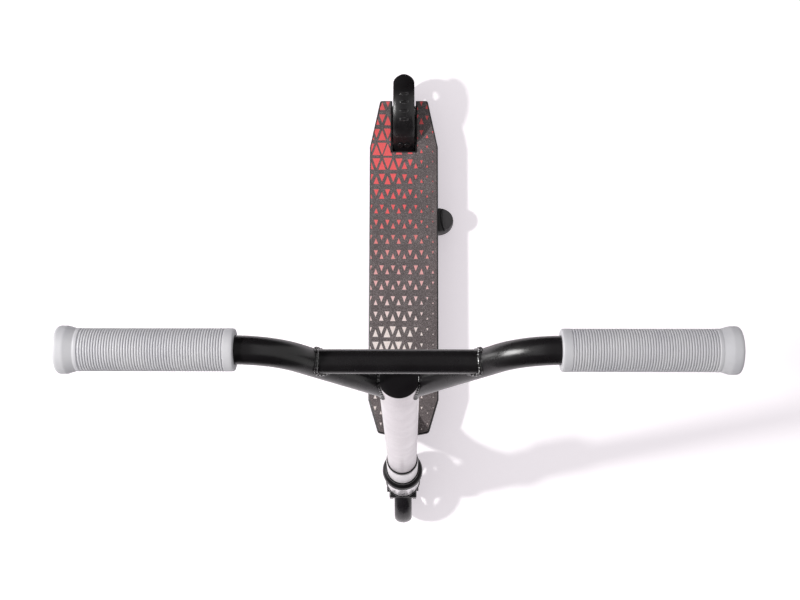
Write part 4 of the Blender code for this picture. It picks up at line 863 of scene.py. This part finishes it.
def headset():
    """The polished head tube, the black cover and spacer over it, and the ring on the clamp."""
    low, high = span_of("head_tube", STEERING)
    outline = ring_outline(high.x - HEAD_TUBE_WALL, high.x, low.z, high.z, 0.0003, 0.0007)
    settle(turned("head_tube_polished", outline, 88), "frame", "polished", ("head_tube",), STEERING)
    low, high = span_of("headset_cover", STEERING)
    wide, base, top = high.x, low.z, high.z
    cover = [(STEERER_BORE, base, 0.0002), (wide - 0.0010, base, 0.0005), (wide, base + 0.0010, 0.0006),
             (wide, base + 0.0044, 0.0005), (wide - 0.0006, base + 0.0047, 0.0002),
             (wide - 0.0006, base + 0.0052, 0.0002), (wide - 0.0001, base + 0.0056, 0.0004),
             (wide - 0.0010, top - 0.0022, 0.0035), (wide - 0.0043, top, 0.0012), (STEERER_BORE, top, 0.0002)]
    settle(turned("headset_cover_moulded", cover, 88), "steering", "black_moulding",
           ("headset_cover",), STEERING)
    low, high = span_of("steerer_spacer", STEERING)
    spacer = ring_outline(STEERER_BORE, high.x, low.z, high.z, 0.0002, 0.0006)
    settle(turned("steerer_spacer_ring", spacer, 72), "steering", "black_oxide",
           ("steerer_spacer",), STEERING)
    low, high = span_of("clamp_ring", STEERING)
    bore = DOWNTUBE_RADIUS + 0.0001
    band = [(bore, low.z, 0.0001), (high.x, low.z, 0.0003), (high.x, high.z - 0.0002, 0.0008),
            (bore + 0.0003, high.z, 0.0006), (bore, high.z - 0.0004, 0.0001)]
    settle(turned("clamp_ring_moulded", band, 72), "steering", "black_moulding",
           ("clamp_ring",), STEERING)


def socket_bolt(name, radius, height, shank, length, key):
    """A cap screw standing on its seat at zero, with a hexagon socket and a knurled side."""
    turns = [math.tau * i / 48 for i in range(48)]
    levels = [(-length, shank), (0.0, shank), (0.0, radius), (0.82 * height, radius),
              (0.93 * height, radius - 0.0003), (height, radius - 0.0008)]
    loops = []
    for z, r in levels:
        knurl = 0.012 * radius if r == radius else 0.0
        loop = []
        for i, turn in enumerate(turns):
            reach = r - knurl * (i % 2)
            loop.append((reach * math.cos(turn), reach * math.sin(turn), z))
        loops.append(loop)
    hexagon = []
    for turn in turns:
        slant = turn % (math.pi / 3) - math.pi / 6
        reach = key * math.cos(math.pi / 6) / math.cos(slant)
        hexagon.append((reach * math.cos(turn), reach * math.sin(turn)))
    for z, wide in ((height, 1.08), (height - 0.0003, 1.0), (0.45 * height, 1.0)):
        loops.append([(wide * x, wide * y, z) for x, y in hexagon])
    return loft(name, loops)


def carve(item, cutter):
    """Cuts one piece out of another and removes the cutter."""
    step = item.modifiers.new("carve", "BOOLEAN")
    step.operation = "DIFFERENCE"
    step.solver = "EXACT"
    step.object = cutter
    bake(item)
    bpy.data.objects.remove(cutter, do_unlink=True)
    return item


def block(name, low, high):
    """A box between two corners."""
    bm = bmesh.new()
    bmesh.ops.create_cube(bm, size=1.0)
    low, high = Vector(low), Vector(high)
    for vert in bm.verts:
        vert.co = [a + (b - a) * (c + 0.5) for a, b, c in zip(low, high, vert.co)]
    return from_bmesh(name, bm)


def clamp():
    """The split collar with its ears and slit towards the rider."""
    low, high = span_of("clamp", STEERING)
    bore = DOWNTUBE_RADIUS + 0.0003
    collar = turned("clamp_collar", ring_outline(bore, high.x, low.z, high.z, 0.0004, 0.0012), 96)
    ear_low = (-EAR_HALF, 0.6 * bore, low.z + EAR_MARGIN)
    ear_high = (EAR_HALF, high.y, high.z - EAR_MARGIN)
    ear = bevelled(block("clamp_ears", ear_low, ear_high), 0.002, 4)
    under, over = low.z - PAST, high.z + PAST
    carve(ear, turned("ear_seat", ring_outline(0.0, 0.5 * (bore + high.x), under, over, 0.0, 0.0), 96))
    for piece in (collar, ear):
        carve(piece, block("slit", (-SLIT_HALF, 0.0, under), (SLIT_HALF, high.y + PAST, over)))
    whole = join("clamp_split_collar", [collar, ear])
    settle(whole, "steering", "clamp_coat", ("clamp",), STEERING, 30.0)


def clamp_bolts():
    """The clamp's cap screws, one row up its left ear."""
    names = ("clamp_bolt_1", "clamp_bolt_2", "clamp_bolt_3")
    boxes = [span_of(node, STEERING) for node in names]
    middles = [0.5 * (low + high) for low, high in boxes]
    seat = boxes[0][1].x - CLAMP_BOLT["height"]
    item = socket_bolt("clamp_bolts", **CLAMP_BOLT)
    move(item, LAID)
    step = tuple(middles[1] - middles[0])
    grown(item, ROW_OF, Count=3, Step=(0.0, 0.0, step[2]), Material=LOOKS["black_oxide"])
    place = STEERING @ Matrix.Translation((seat, middles[0].y, middles[0].z))
    settle(item, "steering", "black_oxide", names, place, 30.0)


def axle_ends(prefix, body, matrix):
    """The axle bolt, put in from the left."""
    low, high = span_of(prefix + "_axle_bolt", matrix)
    radius = 0.5 * (high.z - low.z)
    seat = high.x - AXLE_HEAD
    item = socket_bolt(prefix + "_axle_screw", radius, AXLE_HEAD, AXLE_SHANK, seat - low.x, AXLE_KEY)
    settle(item, body, "black_oxide", (prefix + "_axle_bolt",),
           matrix @ Matrix.Translation((seat, 0.0, 0.0)) @ LAID, 30.0)


def neck_welds():
    """Beads round the neck's foot on the deck and up the head tube."""
    half = NECK_HALF
    front, back = DECK_LOW.y + NECK_FRONT, DECK_LOW.y + NECK_BACK
    top = DECK_HIGH.z + 0.0003
    outline = [(half, front, top), (half, back, top), (-half, back, top), (-half, front, top)]
    weld("neck_foot_welds", "frame", "deck_coat", [(outline, False)], FOOT_BEAD)
    low, high = span_of("head_tube", STEERING)
    radius = high.x + 0.0002
    bottom, summit = low.z + NECK_LOW, high.z - NECK_TOP
    edge = math.sqrt(radius ** 2 - half ** 2)
    steps = 10
    side = [(half, edge, bottom + (summit - bottom) * i / steps) for i in range(steps + 1)]
    swing = math.atan2(edge, half)
    arc = [swing + (math.pi - 2 * swing) * i / 12 for i in range(1, 12)]
    over = [(radius * math.cos(a), radius * math.sin(a), summit) for a in arc]
    back = [(-x, y, z) for x, y, z in reversed(side)]
    path = side + over + back
    weld("head_tube_welds", "frame", "deck_coat", [(path, False)], HEAD_BEAD, STEERING)


def tyre(prefix, matrix):
    """A smooth cast tyre, its tread a flat ellipse."""
    shoulder = WHEEL_RADIUS - TYRE_CROWN
    flank = [(CORE_RADIUS + 0.0002, RIM_HALF, 0.0), (CORE_RADIUS + 0.0006, 0.0108, 0.0004),
             (shoulder - 0.001, TYRE_HALF, 0.0)]
    turns = [math.pi * i / 24 for i in range(25)]
    tread = [(shoulder + TYRE_CROWN * math.sin(turn), TYRE_HALF * math.cos(turn), 0.0) for turn in turns]
    outline = flank + tread + mirrored(flank)[len(flank):]
    item = turned(prefix + "_tyre_cast", outline, 112, 2)
    settle(item, prefix + "_wheel", "tyre_urethane", (prefix + "_tyre",), matrix @ LAID, 45.0)


def wheel_core(prefix, matrix):
    """Hub, rim and tapered spokes between them."""
    hub = mirrored([(BEARING_RADIUS + 0.0003, -HUB_HALF, 0.0), (HUB_RADIUS - 0.0005, -HUB_HALF, 0.0006),
                    (HUB_RADIUS + 0.0002, -0.0052, 0.002), (HUB_RADIUS + 0.0026, -0.0048, 0.0006)])
    rim = mirrored([(CORE_RADIUS, RIM_HALF, 0.0004), (RIM_INNER + 0.0006, RIM_HALF, 0.0006),
                    (RIM_INNER, 0.0055, 0.002), (RIM_INNER - 0.0024, 0.0046, 0.0008)])
    rings = [move(turned(prefix + "_hub", hub, 72), LAID), move(turned(prefix + "_rim", rim, 96), LAID)]
    loops = []
    for i in range(9):
        t = i / 8
        radius = HUB_RADIUS + 0.001 + t * (RIM_INNER - HUB_RADIUS)
        width = 0.0034 + 0.0016 * (2 * t - 1) ** 2
        deep = 0.0042 - 0.0006 * math.sin(math.pi * t)
        corners = [(deep, width), (-deep, width), (-deep, -width), (deep, -width)]
        section = softened([(*corner, 0.0012) for corner in corners], 3)
        loops.append([(x, y, radius) for x, y in section])
    spoke = loft(prefix + "_spokes", loops)
    spokes = grown(spoke, ROUND_OF, Count=SPOKE_COUNT, First_Angle=math.radians(30),
                   Angle_Step=math.tau / SPOKE_COUNT, Material=LOOKS["core_plastic"])
    whole = join(prefix + "_core_moulded", rings + [spokes])
    settle(whole, prefix + "_wheel", "core_plastic", (prefix + "_core",), matrix, 35.0)


def bearings(prefix, matrix):
    """Shielded ball bearings at both faces of the hub."""
    for side, name in ((1, "left"), (-1, "right")):
        node = f"{prefix}_bearing_{name}"
        low, high = span_of(node, matrix)
        width = high.x - low.x
        shield = width - SHIELD_DROP
        ring = [(BEARING_BORE, 0.0, 0.0002), (BEARING_RADIUS, 0.0, 0.0004), (BEARING_RADIUS, width, 0.0004),
                (0.0095, width, 0.0003), (0.0091, shield, 0.0002), (0.0066, shield, 0.0002),
                (0.0062, width, 0.0002), (BEARING_BORE, width, 0.0003)]
        item = turned(f"{prefix}_bearing_shield_{name}", ring, 48)
        turn = LAID if side > 0 else HALF_TURN @ LAID
        start = Matrix.Translation((low.x if side > 0 else high.x, 0.0, 0.0))
        settle(item, prefix + "_wheel", "bright_zinc", (node,), matrix @ start @ turn)


def arch_point(angle):
    """A point of the arch over the rear axle; zero degrees points forward and ninety up."""
    return FENDER_MIDDLE * Vector((0.0, -math.cos(angle), math.sin(angle)))


def plate_section(point, up, half):
    """A ring of points round the crowned plate at one station."""
    steps = 12
    thick = 0.5 * FENDER_THICKNESS
    ring = []
    for sign in (1, -1):
        for i in range(steps + 1):
            across = sign * (2 * i / steps - 1)
            drop = FENDER_CROWN * (across * half / FENDER_HALF) ** 2 * (1.0 if abs(across) < 0.95 else 1.03)
            near_edge = max(0.0, abs(across) - 0.86) / 0.14
            height = sign * thick * math.sqrt(max(0.0, 1 - 0.75 * near_edge ** 2)) - drop
            ring.append(point + Vector((across * half, 0.0, 0.0)) + height * up)
    return ring


def brake_foot():
    """The fender's flat foot, down into the deck."""
    low, high = span_of("brake_foot", REAR_WHEEL)
    length = (SPLIT_POINT.z - low.z) / math.cos(SPLIT) - 0.001
    stations = [(SPLIT_POINT + length * t / 6 * FOOT_DOWN, FOOT_UP, FENDER_HALF) for t in range(7)]
    foot = loft("brake_foot_plate", [plate_section(*s) for s in stations])
    settle(foot, "frame", "brake_coat", ("brake_foot",), REAR_WHEEL, 45.0)


def brake_fender():
    """The sprung arch over the wheel, with a rounded tail and pressed ribs."""
    stations = []
    steps = 40
    for index in range(steps + 1):
        angle = SPLIT + (TAIL_ANGLE - SPLIT) * index / steps
        stations.append((arch_point(angle), arch_point(angle).normalized(), FENDER_HALF))
    base = arch_point(TAIL_ANGLE)
    along = Vector((0.0, math.sin(TAIL_TURN), math.cos(TAIL_TURN)))
    tail_up = Vector((0.0, -math.cos(TAIL_TURN), math.sin(TAIL_TURN)))
    for index in range(1, 17):
        angle = 0.5 * math.pi * index / 16.6
        spot = base + (TAIL_LENGTH - FENDER_HALF * (1 - math.sin(angle))) * along
        blend = min(1.0, index / 6)
        lift = (arch_point(TAIL_ANGLE).normalized() * (1 - blend) + tail_up * blend).normalized()
        stations.append((spot, lift, FENDER_HALF * math.cos(angle)))
    arch = loft("fender_plate", [plate_section(*s) for s in stations])
    tread = tread_rib("fender_treads")
    first = math.radians(90 - TREAD_CENTRE + 0.5 * TREAD_PITCH * (TREAD_COUNT - 1))
    grown(tread, ROUND_OF, Count=TREAD_COUNT, First_Angle=first, Angle_Step=-math.radians(TREAD_PITCH),
          Material=LOOKS["brake_coat"])
    whole = join("fender_arch_plate", [arch, tread])
    settle(whole, "brake", "brake_coat", ("brake_fender",), REAR_WHEEL, 45.0)


def tread_rib(name):
    """One pressed rib across the top of the arch, drawn at ninety degrees."""
    across, along = 14, 8
    bm = bmesh.new()
    grid = []
    for i in range(across + 1):
        u = 2 * i / across - 1
        line = []
        for j in range(along + 1):
            v = 2 * j / along - 1
            height = (1 - u ** 6) * (1 - abs(v) ** 2.6)
            z = FENDER_MIDDLE + 0.5 * FENDER_THICKNESS - TREAD_SINK + TREAD_RISE * height
            line.append(bm.verts.new((TREAD_HALF_WIDTH * u, TREAD_HALF_LENGTH * v, z)))
        grid.append(line)
    for a, b in zip(grid, grid[1:]):
        for j in range(along):
            bm.faces.new((a[j], a[j + 1], b[j + 1], b[j]))
    rim = grid[0] + [line[-1] for line in grid[1:]] + grid[-1][-2::-1] + [line[0] for line in grid[-2:0:-1]]
    low = [bm.verts.new((v.co.x, v.co.y, FENDER_MIDDLE - 0.0004)) for v in rim]
    for i in range(len(rim)):
        j = (i + 1) % len(rim)
        bm.faces.new((rim[i], rim[j], low[j], low[i]))
    bm.faces.new(low)
    return from_bmesh(name, bm)


def brake_screws():
    """Two cap screws through the fender's foot."""
    item = socket_bolt("brake_screws", **BRAKE_SCREW)
    grown(item, ROW_OF, Count=2, Step=(SCREW_SPACING, 0.0, 0.0), Material=LOOKS["bright_zinc"])
    spot = SPLIT_POINT + SCREW_PLACE * FOOT_DOWN + (0.5 * FENDER_THICKNESS + 0.0001) * FOOT_UP
    spot.x = -0.5 * SCREW_SPACING
    turn = Matrix.Rotation(math.pi / 2 - SPLIT, 4, "X")
    settle(item, "frame", "black_oxide", ("brake_screw_left", "brake_screw_right"),
           REAR_WHEEL @ Matrix.Translation(spot) @ turn, 30.0)


def stand_foot():
    """The side stand's rubber foot: half round in plan, domed, with one slanting groove."""
    low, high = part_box("stand_foot")
    middle = 0.5 * (low + high)
    reach = high.x - low.x
    half = 0.5 * (high.y - low.y)
    tall = 0.5 * (high.z - low.z)
    loops = []
    levels = 14
    for level in range(levels + 1):
        turn = math.pi * (level / levels - 0.5)
        z = tall * max(-1.0, min(1.0, FOOT_FLATNESS * math.sin(turn)))
        inset = FOOT_ROUND * (1 - math.sqrt(max(0.0, math.cos(turn))))
        if abs(z) >= tall * 0.999:
            z = math.copysign(tall - 0.0002 * (1 - abs(math.sin(turn))), z)
        loop = []
        for i in range(25):
            angle = math.pi * (0.5 - i / 24)
            x = low.x + max(0.0, reach - inset) * math.cos(angle)
            loop.append((x, middle.y + (half - inset) * math.sin(angle), middle.z + z))
        loops.append(loop)
    item = loft("stand_foot_rubber", loops)
    corners = [(-GROOVE_HALF, -GROOVE_DEEP), (GROOVE_HALF, -GROOVE_DEEP),
               (GROOVE_HALF, PAST), (-GROOVE_HALF, PAST)]
    sections = []
    for step in range(-12, 13):
        t = step / 10
        x = low.x + GROOVE_IN - GROOVE_SLANT * t + GROOVE_BOW * t * t
        sections.append([(x + dx, middle.y + half * t, high.z + dz) for dx, dz in corners])
    carve(item, loft("groove", sections))
    settle(item, "side_stand", "foot_rubber", ("stand_foot",), angle=40.0)


def carried_over():
    """Finishes for the CAD nodes that keep their own shape."""
    looks = {
        "deck": "deck_coat", "grip_tape": "tape", "neck": "deck_coat", "fork": "deck_coat",
        "upper_cup": "black_oxide", "lower_cup": "black_oxide", "crown_race": "black_oxide",
        "front_axle_nut": "black_oxide", "rear_axle_nut": "black_oxide",
        "stand_bracket": "black_oxide", "stand_leg": "black_oxide",
    }
    for name, item in NODES.items():
        look = LOOKS[looks.get(name, "bright_zinc")]
        if not item.data.materials:
            item.data.materials.append(look)
        for index in range(len(item.data.materials)):
            item.data.materials[index] = look


def build():
    """Every piece of the scooter."""
    carried_over()
    for name, turn in (("left", Matrix.Identity(4)), ("right", HALF_TURN)):
        grip(f"{name}_grip_ribbed", f"{name}_grip", turn)
        bar_plug(f"{name}_plug_moulded", f"{name}_bar_plug", turn)
    wing("left_wing_tube", "left_wing", 1)
    wing("right_wing_tube", "right_wing", -1)
    bar_welds(*crossbar())
    downtube()
    headset()
    clamp()
    clamp_bolts()
    axle_ends("front", "steering", FRONT_WHEEL)
    axle_ends("rear", "frame", REAR_WHEEL)
    neck_welds()
    for prefix, matrix in (("front", FRONT_WHEEL), ("rear", REAR_WHEEL)):
        tyre(prefix, matrix)
        wheel_core(prefix, matrix)
        bearings(prefix, matrix)
    brake_foot()
    brake_fender()
    brake_screws()
    stand_foot()


def photo_camera():
    """The photograph's camera: nearly overhead, its top edge towards the scooter's rear."""
    heading, tilt, roll = (math.radians(angle) for angle in CAMERA_TURNS)
    across = Vector((math.cos(heading), math.sin(heading), 0.0))
    ahead = Vector((math.sin(heading), -math.cos(heading), 0.0))
    down = Vector((0.0, 0.0, -1.0))
    aim = -math.sin(tilt) * ahead + math.cos(tilt) * down
    forward = math.sin(roll) * across + math.cos(roll) * aim
    right = math.cos(roll) * across - math.sin(roll) * aim
    below = math.cos(tilt) * ahead + math.sin(tilt) * down
    data = bpy.data.cameras.new("photo_camera")
    data.lens = CAMERA_LENS
    data.sensor_width = CAMERA_SENSOR
    item = add_object("photo_camera", data)
    turn = Matrix((right, -below, -forward)).transposed().to_4x4()
    item.matrix_world = Matrix.Translation(CAMERA_PLACE) @ turn
    bpy.context.scene.camera = item


def seen_white(board):
    """Rays that see the background: from the camera, off gloss and through glass."""
    path = board.node("ShaderNodeLightPath")
    seen = board.math("MAXIMUM", path.outputs["Is Camera Ray"], path.outputs["Is Glossy Ray"])
    return board.math("MAXIMUM", seen, path.outputs["Is Transmission Ray"])


def empty_board(owner):
    """The cleared node tree of a new world or material."""
    owner.use_nodes = True
    owner.node_tree.nodes.clear()
    return Board(owner.node_tree)


def square(name, half, look):
    """A flat square round the origin, in one finish."""
    bm = bmesh.new()
    bmesh.ops.create_grid(bm, x_segments=1, y_segments=1, size=half)
    item = from_bmesh(name, bm)
    item.data.materials.append(look)
    return item


def gloss_card(name, tall, wide, matrix, strength):
    """A card that only gloss sees: a dim ceiling or wall, or a bright window."""
    look = bpy.data.materials.new(name)
    board = empty_board(look)
    light = board.node("ShaderNodeEmission", {"Color": (1.0, 0.99, 0.98, 1.0), "Strength": strength})
    board.feed(board.node("ShaderNodeOutputMaterial").inputs["Surface"], light.outputs[0])
    card = move(square(name, 0.5, look), matrix @ Matrix.Diagonal((tall, wide, 1.0, 1.0)))
    card.visible_camera = False
    card.visible_diffuse = False
    card.visible_transmission = False
    card.visible_shadow = False


def studio_world():
    """Soft fill on the scooter, white where the background is seen."""
    world = bpy.data.worlds.new("studio")
    bpy.context.scene.world = world
    board = empty_board(world)
    soft = board.node("ShaderNodeBackground", {"Color": (1.0, 0.99, 1.0, 1.0), "Strength": FILL_LIGHT})
    white = board.node("ShaderNodeBackground", {"Color": (1.0, 1.0, 1.0, 1.0), "Strength": 1.0})
    both = board.node("ShaderNodeMixShader", {0: seen_white(board), 1: soft.outputs[0], 2: white.outputs[0]})
    board.feed(board.node("ShaderNodeOutputWorld").inputs["Surface"], both.outputs[0])


def studio_floor():
    """A pale floor that keeps the shadow."""
    look = bpy.data.materials.new("studio_floor")
    board = empty_board(look)
    paper = board.node("ShaderNodeBsdfDiffuse", {"Color": (0.86, 0.84, 0.86, 1.0)})
    strength = board.times(seen_white(board), FLOOR_GLOW)
    glow = board.node("ShaderNodeEmission", {"Color": (1.0, 0.92, 0.985, 1.0), "Strength": strength})
    both = board.node("ShaderNodeAddShader", {0: paper.outputs[0], 1: glow.outputs[0]})
    board.feed(board.node("ShaderNodeOutputMaterial").inputs["Surface"], both.outputs[0])
    floor = square("studio_floor", FLOOR_HALF, look)


def studio():
    """World, floor, cards for the gloss and one near lamp from the scooter's right."""
    studio_world()
    studio_floor()
    stand_up = Matrix.Rotation(math.pi / 2, 4, "Y")
    width = 2 * ROOM_HALF
    gloss_card("ceiling_card", 1.0, width, Matrix.Translation((0.0, 0.0, ROOM_HEIGHT)), CEILING_GLOW)
    for index, strength in enumerate(WALL_GLOWS):
        face = Matrix.Rotation(0.5 * math.pi * index, 4, "Z")
        side = face @ Matrix.Translation((ROOM_HALF, 0.0, 0.5 * ROOM_HEIGHT)) @ stand_up
        gloss_card(f"wall_card_{index}", ROOM_HEIGHT, width, side, strength)
    for name, tall, height, strength in WINDOWS:
        place = Matrix.Translation((WINDOW_X, 0.0, height))
        gloss_card(name, tall, WINDOW_WIDTH, place @ stand_up, strength)
    lamp = bpy.data.lights.new("key_lamp", "POINT")
    lamp.energy = LAMP_POWER
    lamp.shadow_soft_size = 0.08
    lamp.color = (1.0, 0.985, 0.97)
    item = add_object("key_lamp", lamp)
    item.location = LAMP_PLACE
    item.visible_glossy = False


build()
photo_camera()
studio()
bpy.context.scene.view_settings.view_transform = "Standard"
